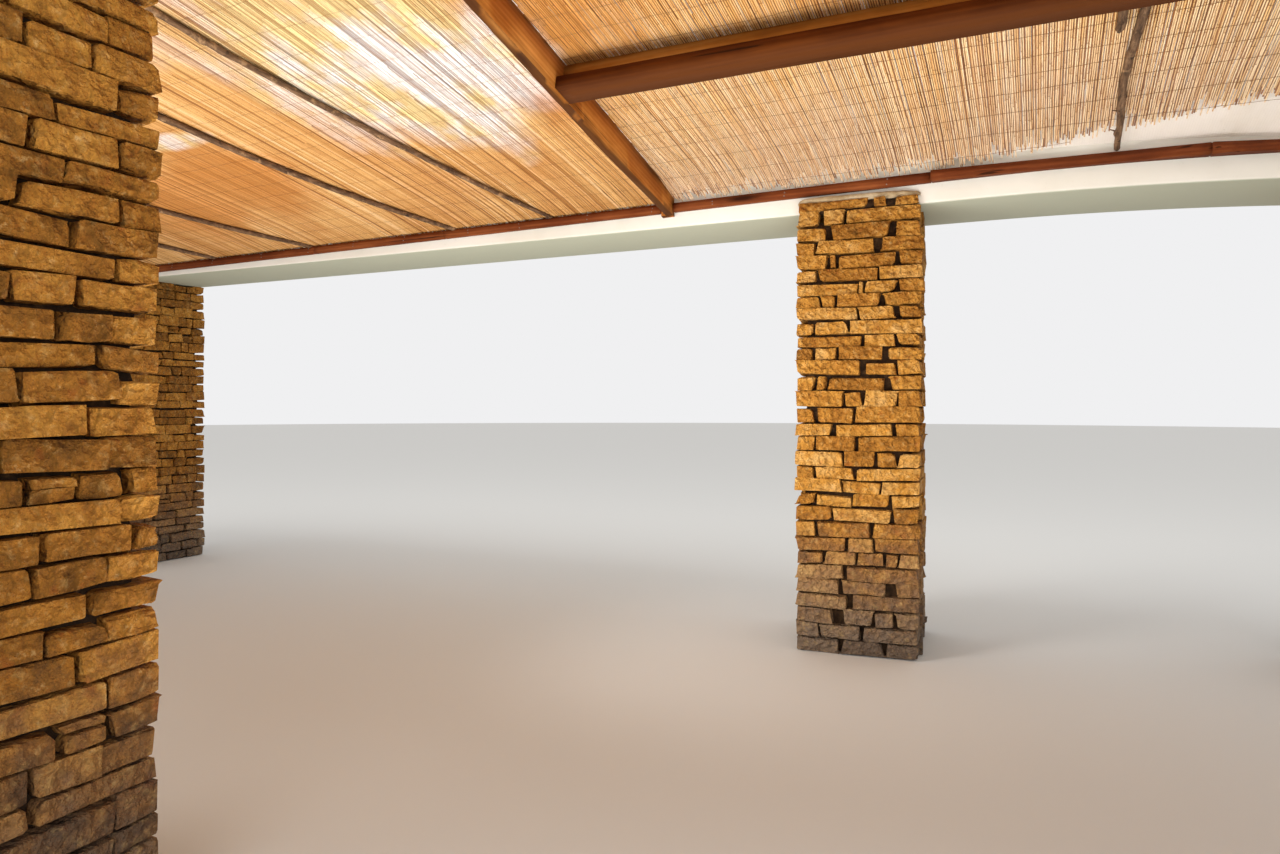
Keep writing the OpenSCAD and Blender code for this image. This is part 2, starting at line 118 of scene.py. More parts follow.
class Graph:
    """A node tree in the making, with short calls for its nodes."""

    def __init__(self, tree: Tree) -> None:
        """Starts on a material's or a geometry group's tree."""
        self.tree = tree

    def add(self, kind: str, *values: Any, **settings: Any) -> bpy.types.Node:
        """Adds a node.

        Args:
            kind: Blender's name of the node's type.
            *values: what goes into the inputs in order: an output, a value, or
                None to leave an input alone.
            **settings: properties of the node itself.

        Returns:
            The new node.
        """
        node = self.tree.nodes.new(kind)
        for key, value in settings.items():
            setattr(node, key, value)
        for socket, value in zip(node.inputs, values):
            self.feed(socket, value)
        return node

    def feed(self, socket: bpy.types.NodeSocket, value: Any) -> None:
        """Links an output to an input, or sets the input's own value."""
        if isinstance(value, Wire):
            self.tree.links.new(value.socket, socket)
        elif value is not None:
            one_for_all = socket.type == "VECTOR" and isinstance(value, float)
            socket.default_value = (value,) * 3 if one_for_all else value

    def out(self, kind: str, *values: Any, pick: int | str = 0, **settings: Any) -> Wire:
        """One output of a new node."""
        return Wire(self, self.add(kind, *values, **settings).outputs[pick])

    def math(self, operation: str, *values: Any) -> Wire:
        """The result of a Math node."""
        return self.out("ShaderNodeMath", *values, operation=operation)

    def vector(self, operation: str, *values: Any, pick: int = 0) -> Wire:
        """The result of a Vector Math node."""
        return self.out("ShaderNodeVectorMath", *values, pick=pick, operation=operation)

    def parts(self, vector: Wire) -> list[Wire]:
        """A vector's three parts."""
        return [Wire(self, part) for part in self.add("ShaderNodeSeparateXYZ", vector).outputs]

    def speckle(self, vector: Any, scale: Any, detail: float = 3.0,
                roughness: float = 0.5, pick: int = 0) -> Wire:
        """A Noise texture's value (0) or colour (1)."""
        return self.out("ShaderNodeTexNoise", vector, None, scale, detail, roughness, pick=pick)


class Paint(Graph):
    """A Principled material in the making."""

    bump_strength = 0.8

    def __init__(self, name: str, roughness: float, **fixed: float | Colour) -> None:
        """Starts a material.

        Args:
            name: the material's name.
            roughness: roughness that is the same all over.
            **fixed: other inputs of the shader, with _ for each space.
        """
        self.material = bpy.data.materials.new(name)
        self.material.use_nodes = True
        super().__init__(self.material.node_tree)
        self.shader = self.tree.nodes["Principled BSDF"]
        for key, value in {"Roughness": roughness, **fixed}.items():
            self.shader.inputs[key.replace("_", " ")].default_value = value

    def place(self, scale: Sequence[float] = (1, 1, 1),
              turn: Sequence[float] = (0, 0, 0)) -> Wire:
        """Object coordinates, turned and stretched."""
        source = self.out("ShaderNodeTexCoord", pick="Object")
        return self.out("ShaderNodeMapping", source, None, tuple(turn)) * tuple(scale)

    def carried(self, name: str) -> Wire:
        """An attribute that the mesh carries, as a number."""
        return self.out("ShaderNodeAttribute", attribute_name=name, pick="Fac")

    def ramp(self, value: Any, stops: Sequence[Stop]) -> Wire:
        """A colour ramp over a value."""
        node = self.add("ShaderNodeValToRGB", value)
        marks = node.color_ramp.elements
        while len(marks) < len(stops):
            marks.new(0.5)
        for mark, (place, colour) in zip(marks, stops):
            mark.position, mark.color = place, colour
        return Wire(self, node.outputs[0])

    def span(self, value: Any, low: float, high: float) -> Wire:
        """How far a value is from low to high, held to 0 and 1."""
        return self.out("ShaderNodeMapRange", value, low, high, 0.0, 1.0)

    def spot(self, where: Wire, loose: Wire, centre: Range, reach: Range) -> Wire:
        """A soft-edged patch, seen from above.

        Args:
            where: the coordinates.
            loose: noise about 0 that makes its edge uneven.
            centre, reach: its middle and half its size, along X and Y.

        Returns:
            1 in the patch and 0 beyond it.
        """
        away = (where - (*centre, 0.0)) * (1 / reach[0], 1 / reach[1], 0.0)
        return self.span(self.vector("LENGTH", away, pick=1) + loose, 1.2, 0.55)

    def underside(self) -> Wire:
        """1 on faces that look down and 0 on the others."""
        normal = self.out("ShaderNodeNewGeometry", pick="Normal")
        return self.span(self.parts(normal)[2], -0.5, -0.9)

    def mix(self, share: Any, first: Any, second: Any) -> Wire:
        """A mix of two colours."""
        node = self.add("ShaderNodeMix", share, data_type="RGBA")
        self.feed(node.inputs[6], first)
        self.feed(node.inputs[7], second)
        return Wire(self, node.outputs[2])

    def finish(self, colour: Wire, height: Wire, depth: float,
               rough: Wire | None = None) -> Material:
        """Joins colour, relief and roughness to the shader.

        Args:
            colour: the base colour.
            height: the relief, from 0 to 1.
            depth: how deep the relief is.
            rough: roughness, where it varies.

        Returns:
            The finished material.
        """
        bump = self.out("ShaderNodeBump", self.bump_strength, depth, None, height)
        for key, value in (("Base Color", colour), ("Normal", bump), ("Roughness", rough)):
            self.feed(self.shader.inputs[key], value)
        return self.material


class GeometryGroup(Graph):
    """A Geometry Nodes group with named inputs."""

    def __init__(self, name: str, inputs: dict[str, float | int | None]) -> None:
        """Starts a group whose first input and only output are geometry.

        Args:
            name: the group's name.
            inputs: names and first values of its sizes; None is a material.
        """
        super().__init__(bpy.data.node_groups.new(name, "GeometryNodeTree"))
        face = self.tree.interface
        for way in ("INPUT", "OUTPUT"):
            face.new_socket("Geometry", in_out=way, socket_type="NodeSocketGeometry")
        for key, value in inputs.items():
            kind = {float: "Float", int: "Int"}.get(type(value), "Material")
            socket = face.new_socket(key, in_out="INPUT", socket_type=f"NodeSocket{kind}")
            if value is not None:
                socket.default_value = value
        self.start = {s.name: Wire(self, s) for s in self.add("NodeGroupInput").outputs}
        self.end = self.add("NodeGroupOutput")

    def named(self, name: str, kind: str = "FLOAT") -> Wire:
        """A named attribute of the geometry."""
        return self.out("GeometryNodeInputNamedAttribute", name, data_type=kind)

    def close(self, geometry: Wire, smooth: bool = True) -> Tree:
        """Ends the group: instances made real, then the material set."""
        shaded = self.out("GeometryNodeSetShadeSmooth", geometry, None, smooth)
        real = self.out("GeometryNodeRealizeInstances", shaded)
        dressed = self.out("GeometryNodeSetMaterial", real, None, self.start["Material"])
        self.feed(self.end.inputs[0], dressed)
        return self.tree


def run_group(obj: Piece, group: Tree, **sizes: Any) -> Piece:
    """Runs a Geometry Nodes group on a piece and keeps the plain mesh that it makes.

    Args:
        obj: the piece, whose mesh goes into the group.
        group: the group.
        **sizes: its inputs by name, with _ for each space.

    Returns:
        The piece, with no modifier left on it.
    """
    modifier = obj.modifiers.new("shape", "NODES")
    modifier.node_group = group
    for socket in group.interface.items_tree:
        if socket.in_out == "INPUT" and socket.name.replace(" ", "_") in sizes:
            modifier[socket.identifier] = sizes[socket.name.replace(" ", "_")]
    graph = bpy.context.evaluated_depsgraph_get()
    made = bpy.data.meshes.new_from_object(
        obj.evaluated_get(graph), preserve_all_data_layers=True, depsgraph=graph)
    obj.modifiers.clear()
    old, obj.data = obj.data, made
    name = old.name
    bpy.data.meshes.remove(old)
    made.name = name
    return obj


# ------------------------------------------------------------------- finishes


@dataclass(frozen=True)
class SplitStone:
    """Ochre sandstone with split faces, greyer where splashes reach it; painted shade in its
    hollows, painted highlights on its crests.
    """

    name: str = "split_sandstone"
    dark: Colour = shade(116, 76, 28)
    warm: Colour = shade(170, 112, 42)
    gold: Colour = shade(200, 140, 58)
    pale: Colour = shade(222, 172, 100)
    grey: Colour = shade(136, 120, 104)
    splash: Range = (0.792, 0.0792)

    def make(self) -> Material:
        """Builds the stones' material."""
        p = Paint(self.name, 0.94, Specular_IOR_Level=0.25)
        where = p.place()
        own = p.carried("shade")
        blotch = p.speckle(where, 13.0, 4.0, 0.62) - 0.5
        base = p.ramp(own * 0.9 + blotch * 1.2 + 0.1, [
            (0.0, self.dark), (0.34, self.warm), (0.62, self.gold), (0.98, self.pale)])
        grain = p.speckle(where, 85.0, 5.0, 0.7)
        base = p.mix(p.span(grain, 0.30, 0.60), p.mix(0.34, base, shade(96, 58, 22)), base)
        lichen = p.span(p.speckle(where, 26.0, 5.0, 0.7), 0.60, 0.72)
        base = p.mix(lichen * 0.45, base, shade(226, 190, 130))
        rust = p.span(p.speckle(where, 17.0, 3.0), 0.62, 0.74)
        base = p.mix(rust * 0.5, base, shade(150, 78, 30))
        low = p.span(p.parts(where)[2] + blotch * 0.5, *self.splash)
        base = p.mix(low * 0.92, base, p.mix(own, shade(96, 84, 74), self.grey))
        bent = where + p.speckle(where, 24.0, 3.0, 0.6, pick=1) * 0.05
        split = p.out("ShaderNodeTexVoronoi", bent, None, 30.0, pick="Distance")
        rough = p.speckle(where, 32.0, 4.0, 0.6)
        # painted shade: the stone is darker in the hollows of its relief
        painted_hollow_shade = p.mix(0.35, shade(70, 42, 16), base)
        base = p.mix(p.span(rough, 0.46, 0.34) * 0.5, base, painted_hollow_shade)
        # painted highlight: the stone is lighter on the crests of its relief
        painted_crest_highlight = p.mix(0.5, base, shade(246, 206, 132))
        base = p.mix(p.span(rough, 0.55, 0.66) * 0.3, base, painted_crest_highlight)
        return p.finish(base, rough + split * 1.1 + grain * 0.16, 0.055)


@dataclass(frozen=True)
class Hearting:
    """Rubble and earth at the back of the open joints, coloured near-black: painted shade deep in
    the joints.
    """

    name: str = "dark_hearting"

    def make(self) -> Material:
        """Builds the hearting's material."""
        p = Paint(self.name, 1.0)
        lumps = p.speckle(p.place(), 30.0, 5.0, 0.7)
        base = p.ramp(lumps, [(0.3, shade(26, 18, 12)), (0.55, shade(58, 40, 24)),
                              (0.75, shade(96, 70, 42))])
        return p.finish(base, lumps, 0.012)


@dataclass(frozen=True)
class Render:
    """A smeared or trowelled coat: mortar or painted plaster."""

    name: str
    base: Colour
    stain: Colour
    pale: Colour
    patch: float
    depth: float
    # under: a colour on faces that look down, painted shade with a greenish painted reflection
    under: Colour | None = None

    def make(self) -> Material:
        """Builds the coat's material."""
        p = Paint(self.name, 0.82)
        where = p.place()
        cloud = p.speckle(where, self.patch, 4.0, 0.6)
        fine = p.speckle(where, self.patch * 22, 4.0, 0.65)
        base = p.mix(p.span(cloud, 0.44, 0.68), self.base, self.pale)
        base = p.mix(p.span(cloud, 0.46, 0.28) * 0.55, base, self.stain)
        pits = p.span(p.speckle(where, self.patch * 50, 2.0), 0.68, 0.76)
        base = p.mix(pits * 0.35, base, self.stain)
        # painted shade: faces that look down take the under colour
        if self.under is not None:
            base = p.mix(p.underside(), base, self.under)
        trowel = p.speckle(p.place((0.5, 1.4, 2.2)), self.patch * 5)
        return p.finish(base, fine * 0.5 + trowel * 0.9, self.depth)


class Grain(Enum):
    """Which way a timber's grain runs."""

    ALONG_BEAM = "along_beam"
    UP_SLOPE = "up_slope"


@dataclass(frozen=True)
class StainedPine:
    """Stained pine with grain, knots and drying cracks."""

    name: str
    grain: Grain
    dark: Colour
    base: Colour
    light: Colour
    knots: float = 1.0
    # under: a painted colour on faces that look down: painted shade on the rafters, painted light
    # on the purlin plank
    under: Colour | None = None

    def make(self) -> Material:
        """Builds the timber's material."""
        p = Paint(self.name, 0.6, Specular_IOR_Level=0.12)
        beam = self.grain is Grain.ALONG_BEAM

        def stretch(along: float, across: float) -> Wire:
            """Coordinates that are drawn out along the grain."""
            if beam:
                return p.place((along, across, across))
            return p.place((across, along, across), (math.radians(10), 0.0, math.radians(-3)))

        warp = p.speckle(stretch(1.1, 7.0), 1.0)
        rings = p.out("ShaderNodeTexWave", stretch(0.35, 9.0), 1.6, 7.0, 3.0, 0.8, 0.55, pick=1,
                      wave_type="RINGS", rings_direction="X" if beam else "Y")
        fibre = p.speckle(stretch(2.6, 95.0), 1.0, 5.0, 0.7)
        cloud = p.speckle(stretch(2.4, 5.0), 1.0, 4.0, 0.62)
        base = p.ramp(rings * 0.08 + (warp + cloud) * 0.52 + fibre * 0.12,
                      [(0.36, self.dark), (0.60, self.base), (0.84, self.light)])
        base = p.mix(p.span(fibre, 0.48, 0.34), base, p.mix(0.25, base, self.dark))
        cell = p.out("ShaderNodeTexVoronoi", stretch(1.35, 7.5), None, 1.0, pick="Distance")
        ring = cell + (fibre - 0.5) * 0.05
        base = p.mix(p.span(ring, 0.30, 0.16) * (0.45 * self.knots), base, self.dark)
        base = p.mix(p.span(ring, 0.17, 0.09) * self.knots, base,
                     p.mix(0.6, self.dark, shade(34, 16, 8)))
        crack = p.span(p.speckle(stretch(0.9, 46.0), 1.0, 2.0), 0.665, 0.70)
        base = p.mix(crack * 0.8, base, shade(40, 20, 10))
        # painted shade and light: faces that look down take the under colour
        if self.under is not None:
            base = p.mix(p.underside() * 0.85, base, self.under)
        return p.finish(base, fibre * 0.7 - crack * 0.8, 0.0018, fibre * 0.3 + 0.6)


@dataclass(frozen=True)
class Bark:
    """Dark bark in strips, worn through to pale wood in places."""

    name: str = "pole_bark"

    def make(self) -> Material:
        """Builds the poles' material."""
        p = Paint(self.name, 0.86)
        streak = p.speckle(p.place((60.0, 5.0, 60.0)), 1.0, 5.0, 0.7)
        patch = p.speckle(p.place(), 16.0, 4.0, 0.6)
        base = p.ramp(streak, [(0.3, shade(52, 38, 28)), (0.5, shade(102, 76, 54)),
                               (0.72, shade(150, 118, 88))])
        base = p.mix(p.span(patch, 0.58, 0.68), base, shade(164, 130, 94))
        base = p.mix(p.span(patch, 0.40, 0.30), base, shade(38, 24, 18))
        return p.finish(base, streak + patch * 0.5, 0.004)


@dataclass(frozen=True)
class DryReed:
    """Golden dry reed: a tone for each stalk, rings at its joints, and patches of painted sun glow
    and painted amber light.

    A patch is its middle, its reach and its strength.
    """

    name: str = "dry_reed"
    joint: float = 0.27
    # painted light: pale patches where sun glows through the sheets
    painted_sun_glow: tuple[tuple[Range, Range, float], ...] = (
        ((-1.68, -1.95), (0.76, 0.7), 0.93), ((-3.45, -1.8), (0.26, 0.07), 0.7),
        ((-2.5, -2.5), (0.8, 0.35), 0.3), ((-4.7, -2.6), (0.9, 0.4), 0.45))
    # painted light: amber patches where sun glows through the sheets and reeds
    painted_amber_glow: tuple[tuple[Range, Range, float], ...] = (
        ((-3.95, -1.15), (0.95, 0.55), 0.62), ((-1.2, -1.75), (0.17, 0.6), 0.8),
        ((-5.3, -2.4), (0.5, 0.9), 0.6))

    def make(self) -> Material:
        """Builds the reeds' material."""
        p = Paint(self.name, 0.6, Specular_IOR_Level=0.3)
        where = p.place()
        own = p.carried("shade")
        x, y, _ = p.parts(where)
        loose = (p.speckle(p.place((1.6, 0.8, 1.0)), 1.0, 4.0, 0.62) - 0.5) * 2.6
        left = p.span(x, ROOF.pivot_x + 0.05, ROOF.pivot_x - 0.05)
        right = 1.0 - left
        base = p.ramp(own, [(0.0, shade(88, 50, 24)), (0.16, shade(138, 86, 42)),
                            (0.34, shade(216, 162, 92)), (0.7, shade(246, 202, 134)),
                            (1.0, shade(252, 226, 178))])
        # the colours of the painted amber light
        amber_glow_tint = shade(122, 64, 20), shade(218, 138, 52)
        tints = [
            (left * 0.3, shade(120, 72, 34), shade(214, 150, 84)),
            (p.span(loose, 0.25, -0.25) * 0.4 * left, shade(126, 68, 22), shade(222, 146, 64)),
            *((p.spot(where, loose, *patch) * share, *amber_glow_tint) for *patch, share in self.painted_amber_glow),
            (p.span(loose - y, 1.3, 2.1) * right * 0.85, shade(120, 66, 26),
             shade(226, 156, 70)),
            # painted light: right-bay reeds paler and pinker towards the ledger, where the sheet
            # glows behind them
            (p.span(y - loose, -1.5, -0.4) * right * 0.55, shade(170, 128, 100),
             shade(255, 232, 206))]
        for share, dark, light in tints:
            base = p.mix(share, base, p.mix(own, dark, light))
        # the colour of the painted sun glow: pale, with painted yellow sun spots
        painted_sun_spot = p.span(p.speckle(p.place((3.4, 1.8, 1.0)), 1.0, 4.0, 0.6), 0.45, 0.57)
        pale = p.mix(own * 1.5, shade(106, 82, 76), shade(255, 252, 248))
        pale = p.mix(painted_sun_spot * 0.8, pale, p.mix(own, shade(168, 124, 56), shade(255, 236, 150)))
        for *patch, share in self.painted_sun_glow:
            base = p.mix(p.spot(where, loose, *patch) * share, base, pale)
        calm = 1.0 - left * 0.7
        sheath = p.span(p.speckle(p.place((260.0, 5.0, 40.0)), 1.0, 2.0), 0.62, 0.66)
        turn = p.math("FRACT", p.math("DIVIDE", p.carried("along"), self.joint))
        ring, husk = p.span(turn, 0.035, 0.012), p.span(turn, 0.42, 0.05)
        for share, tint in ((sheath * (calm * 0.5), shade(150, 84, 40)),
                            (ring * (calm * 0.7), shade(126, 78, 38)),
                            (husk * 0.28, shade(190, 134, 76))):
            base = p.mix(share, base, tint)
        fibre = p.speckle(p.place((420.0, 9.0, 420.0)), 1.0, 2.0)
        base = p.mix(p.span(fibre, 0.50, 0.36), base, p.mix(0.22, base, shade(150, 92, 44)))
        return p.finish(base, ring * 0.8 + fibre * 0.4, 0.0008, fibre * 0.2 + 0.5)


@dataclass(frozen=True)
class Twine:
    """Brown twine, rusted binding wire or dull zinc."""

    name: str
    dark: Colour
    light: Colour
    metallic: float = 0.0

    def make(self) -> Material:
        """Builds the twine's material."""
        p = Paint(self.name, 0.8, Metallic=self.metallic)
        lay = p.speckle(p.place(), 330.0, 3.0, 0.6)
        return p.finish(p.ramp(lay, [(0.35, self.dark), (0.65, self.light)]), lay, 0.0006)


@dataclass(frozen=True)
class OpalSheet:
    """Opal twin-walled sheet: faint ribs up the slope, dust, and a little light through."""

    name: str = "opal_sheet"
    rib: float = 0.011

    def make(self) -> Material:
        """Builds the sheets' material."""
        p = Paint(self.name, 0.6, Transmission_Weight=0.42, IOR=1.15, Specular_IOR_Level=0.25)
        where = p.place()
        wave = p.math("SINE", p.parts(where)[0] * (FULL_TURN / self.rib))
        rib = p.span(wave, 0.55, 0.95)
        dust = p.span(p.speckle(p.place((3.0, 0.8, 1.0)), 1.6, 5.0, 0.65), 0.48, 0.72)
        speck = p.span(p.speckle(where, 70.0), 0.70, 0.78)
        base: Any = shade(255, 248, 240)
        for share, tint in ((rib * 0.3, shade(241, 235, 226)), (dust * 0.22, shade(214, 202, 178)),
                            (speck * 0.4, shade(140, 122, 92))):
            base = p.mix(share, base, tint)
        return p.finish(base, rib, 0.0004, dust * 0.3 + 0.6)


@dataclass(frozen=True)
class MillAluminium:
    """Dull extruded aluminium with drawing lines."""

    name: str = "mill_aluminium"

    def make(self) -> Material:
        """Builds the bars' material."""
        p = Paint(self.name, 0.42, Metallic=0.9)
        lines = p.speckle(p.place((900.0, 6.0, 900.0)), 1.0)
        cloud = p.speckle(p.place(), 9.0, 4.0, 0.6)
        base = p.mix(p.span(cloud, 0.4, 0.7), shade(196, 197, 198), shade(166, 166, 164))
        return p.finish(base, lines, 0.0003, cloud * 0.25 + 0.3)


class Palette:
    """Every finish of the bay, made once."""

    def __init__(self) -> None:
        """Makes the materials."""
        self.stone = SplitStone().make()
        self.hearting = Hearting().make()
        self.mortar = Render("smeared_mortar", shade(178, 156, 120), shade(142, 116, 80),
                             shade(206, 190, 160), 14.0, 0.008).make()
        # the plaster's last colour is painted shade, with a greenish painted reflection, on its
        # soffits
        self.plaster = Render("painted_plaster", shade(232, 228, 216), shade(220, 214, 198),
                              shade(240, 236, 226), 1.6, 0.0014, shade(180, 182, 161)).make()
        self.ledger = StainedPine("ledger_pine", Grain.ALONG_BEAM, shade(70, 30, 15),
                                  shade(110, 54, 26), shade(150, 86, 46)).make()
        # the rafters' last colour is painted shade on their undersides
        self.rafter = StainedPine("rafter_pine", Grain.UP_SLOPE, shade(102, 56, 20),
                                  shade(168, 102, 40), shade(206, 140, 70),
                                  under=shade(52, 27, 14)).make()
        self.purlin_top = StainedPine("purlin_top_pine", Grain.ALONG_BEAM, shade(106, 60, 22),
                                      shade(168, 110, 46), shade(198, 142, 74)).make()
        # the plank's last colour is painted light: its soffit a lighter brown than its sides
        self.purlin_flat = StainedPine("purlin_flat_pine", Grain.ALONG_BEAM, shade(48, 19, 6),
                                       shade(78, 37, 10), shade(106, 56, 18), 1.3,
                                       shade(88, 48, 20)).make()
        self.bark = Bark().make()
        self.reed = DryReed().make()
        self.twine = Twine("binding_twine", shade(104, 66, 34), shade(156, 106, 60)).make()
        self.wire = Twine("rusted_wire", shade(58, 36, 26), shade(120, 92, 70), 0.5).make()
        self.opal = OpalSheet().make()
        self.aluminium = MillAluminium().make()
        self.screw = Twine("dull_zinc", shade(120, 118, 112), shade(176, 174, 168), 0.8).make()


# --------------------------------------------------------------- roof's frame

# Lines that several trades share, as the solids have them
SOFFIT = 2.41
OUTER_SOFFIT = 2.7706
OUTER_ROW = -3.83
LEFT_END = -6.58
LEFT_BAY = 5.154
# What keeps masonry off the beam's face, and reeds and twine off the main rafter
BEAM_GAP = 0.001
REED_GAP = 0.006
TWINE_GAP = 0.008


class Bay(Enum):
    """A bay of the roof.

    Each has its side of the main rafter, the height of its reeds over the ledger's
    top, and how far the reeds' loose lower ends hang.
    """

    LEFT = (-1, 0.024, 0.016)
    RIGHT = (1, 0.052, 0.043)

    def __init__(self, side: int, rise: float, droop: float) -> None:
        """Names the values."""
        self.side, self.rise, self.droop = side, rise, droop


@dataclass(frozen=True)
class RoofPlane:
    """The roof's slope and its fall to the left, as the solids have them."""

    pivot_x: float = -1.096
    ledger_top: float = 2.548
    ledger_face: float = -0.32
    beam_face: float = -0.28
    pitch: float = math.radians(10)
    fall: float = math.radians(0.64)
    rafter_half: float = 0.038
    rafter_skew: float = math.radians(3)
    mat_t: float = 0.014
    mat_end: float = 4.002
    roof_run: float = 4.092
    lap: float = -0.0356
    drift_x: float = 0.66
    drift: float = 0.192
    droop_run: float = 0.45

    @property
    def plumb(self) -> float:
        """Plumb height for each unit square to the slope."""
        return 1 / math.cos(self.pitch)

    def lift(self, x: float) -> float:
        """How much higher the falling lines lie at x than at the main rafter."""
        return (x - self.pivot_x) * math.tan(self.fall)

    def place(self, x: Any, run: Any, height: Any, bay: Bay) -> np.ndarray:
        """Points of a bay, given by place along X, run up the slope and height.

        Args:
            x, run, height: numbers or arrays of one length.
            bay: the bay, whose reeds' underside is height 0.

        Returns:
            One row of three coordinates for each point.
        """
        x, run, height = np.broadcast_arrays(
            np.asarray(x, float), np.asarray(run, float), np.asarray(height, float))
        cos, sin = math.cos(self.pitch), math.sin(self.pitch)
        y = self.ledger_face - run * cos + height * sin
        z = bay.rise + run * sin + height * cos
        out = x - self.pivot_x
        cos, sin = math.cos(self.fall), math.sin(self.fall)
        return np.stack([self.pivot_x + out * cos - z * sin, y,
                         self.ledger_top + out * sin + z * cos], -1)

    def rafter_side(self, run: float, bay: Bay, gap: float) -> float:
        """The main rafter's side in a bay, and a gap away from it, at a run."""
        y = self.ledger_face - run * math.cos(self.pitch)
        middle = self.pivot_x + (self.beam_face - y) * math.tan(self.rafter_skew)
        return middle + bay.side * (self.rafter_half / math.cos(self.rafter_skew) + gap)

    def foot(self, x: Any) -> Any:
        """Run to the reeds' lower edge, which drifts where the ledger curves away."""
        return self.lap + np.maximum(0.0, x - self.drift_x) * self.drift * self.plumb

    def sag(self, x: Any, run: Any, bay: Bay) -> Any:
        """How far the reeds hang below their plane near their loose lower ends."""
        depth = bay.droop * np.clip(1 - (x - self.drift_x) / 0.9, 0.35, 1.0)
        return depth * np.clip(1 - (run - self.foot(x)) / self.droop_run, 0, 1) ** 2


ROOF = RoofPlane()


# ------------------------------------------------------------- shared making


def ripple(x: float, y: float = 0.0, z: float = 0.0) -> float:
    """Smooth noise about 0 at a place."""
    return noise.noise(Vector((x, y, z)))


def turned(along: float, across: float, angle: float) -> tuple[float, float]:
    """A place in plan, turned about the origin by an angle."""
    cos, sin = math.cos(angle), math.sin(angle)
    return along * cos - across * sin, along * sin + across * cos


def new_piece(name: str, points: Any, faces: Sequence[Face] = (),
              edges: Sequence[tuple[int, int]] = (), smooth: bool = True) -> Piece:
    """An object at the origin whose place is in its mesh.

    Args:
        name: the piece's name.
        points: its vertices.
        faces: its faces, as indices of vertices.
        edges: loose edges, where it has no faces yet.
        smooth: whether its faces are shaded smooth.

    Returns:
        The new object, in the scene.
    """
    mesh = bpy.data.meshes.new(name)
    mesh.from_pydata([tuple(p) for p in points], edges, faces)
    if len(faces):
        mesh.polygons.foreach_set("use_smooth", [smooth] * len(mesh.polygons))
    mesh.update()
    obj = bpy.data.objects.new(name, mesh)
    bpy.context.scene.collection.objects.link(obj)
    return obj


def carry(obj: Piece, name: str, values: Any) -> None:
    """Stores a number or a vector for each vertex of a piece."""
    data = np.asarray(values, np.float32)
    kind, key = ("FLOAT_VECTOR", "vector") if data.ndim == 2 else ("FLOAT", "value")
    obj.data.attributes.new(name, kind, "POINT").data.foreach_set(key, data.ravel())


def fit_piece(obj: Piece, replaces: Iterable[str] = (),
              material: Material | None = None) -> None:
    """Joins a finished piece to the frame and reports it.

    Args:
        obj: the piece.
        replaces: CAD nodes that it stands for.
        material: its material, where it has none yet.
    """
    if material is not None:
        obj.data.materials.clear()
        obj.data.materials.append(material)
    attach(obj, "root")
    nodes = list(replaces)
    if nodes:
        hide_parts(*nodes)
    log.info("%-24s %7d faces  stands for %s", obj.name, len(obj.data.polygons),
             ", ".join(nodes) or "nothing in the solids")


def fit_solid(name: str, part: Part, replaces: Iterable[str],
              material: Material, smooth: bool = True) -> None:
    """Makes a piece of closed shapes, turns its faces outwards and fits it.

    Args:
        name: the piece's name.
        part: its points and faces.
        replaces, material: as for fit_piece.
        smooth: whether its faces are shaded smooth.
    """
    obj = new_piece(name, *part, smooth=smooth)
    work = bmesh.new()
    work.from_mesh(obj.data)
    bmesh.ops.recalc_face_normals(work, faces=work.faces)
    work.to_mesh(obj.data)
    work.free()
    fit_piece(obj, replaces, material)


def sweep(rings: Sequence[np.ndarray]) -> Part:
    """Joins rings of points into a closed tube with capped ends.

    Args:
        rings: rings with as many points each, in order along the piece.

    Returns:
        The points, and the faces that join them.
    """
    sides, last = len(rings[0]), len(rings) - 1
    faces: list[Face] = []
    for i in range(last):
        for k in range(sides):
            a, b = i * sides + k, i * sides + (k + 1) % sides
            faces.append((a, b, b + sides, a + sides))
    faces.append(tuple(range(sides - 1, -1, -1)))
    faces.append(tuple(last * sides + k for k in range(sides)))
    return np.concatenate(rings), faces


def join_parts(parts: Iterable[Part]) -> Part:
    """Puts several shapes into one list of points and one of faces."""
    points: list[np.ndarray] = []
    faces: list[Face] = []
    count = 0
    for more_points, more_faces in parts:
        points.append(more_points)
        faces += [tuple(i + count for i in face) for face in more_faces]
        count += len(more_points)
    return np.concatenate(points), faces


def strand_group(name: str) -> Tree:
    """Geometry Nodes that turn lines of points into capped round strands.

    The lines carry "girth", the strand's radius at each point.
    """
    g = GeometryGroup(name, {"Sides": 5, "Material": None})
    line = g.out("GeometryNodeMeshToCurve", g.start["Geometry"])
    ring = g.add("GeometryNodeCurvePrimitiveCircle", g.start["Sides"])
    g.feed(ring.inputs["Radius"], 1.0)
    return g.close(g.out("GeometryNodeCurveToMesh", line, Wire(g, ring.outputs[0]),
                         g.named("girth"), True))


@dataclass
class Strands:
    """Lines of points that become round strands, such as reeds or twine."""

    points: list[np.ndarray] = field(default_factory=list)
    values: dict[str, list[np.ndarray]] = field(default_factory=dict)
    edges: list[tuple[int, int]] = field(default_factory=list)
    count: int = 0

    def add(self, line: np.ndarray, **values: Any) -> None:
        """Adds one strand.

        Args:
            line: its points.
            **values: what its points carry, as one number or one for each.
        """
        n = len(line)
        self.points.append(line)
        for key, value in values.items():
            self.values.setdefault(key, []).append(np.broadcast_to(value, n))
        self.edges += [(self.count + i, self.count + i + 1) for i in range(n - 1)]
        self.count += n

    def build(self, name: str, group: Tree, sides: int,
              material: Material, slot: str, replaces: Iterable[str] = ()) -> None:
        """Runs the strands' group and fits the piece."""
        obj = new_piece(name, np.concatenate(self.points), edges=self.edges)
        for key, parts in self.values.items():
            carry(obj, key, np.concatenate(parts))
        fit_piece(run_group(obj, group, Sides=sides, Material=material), replaces)


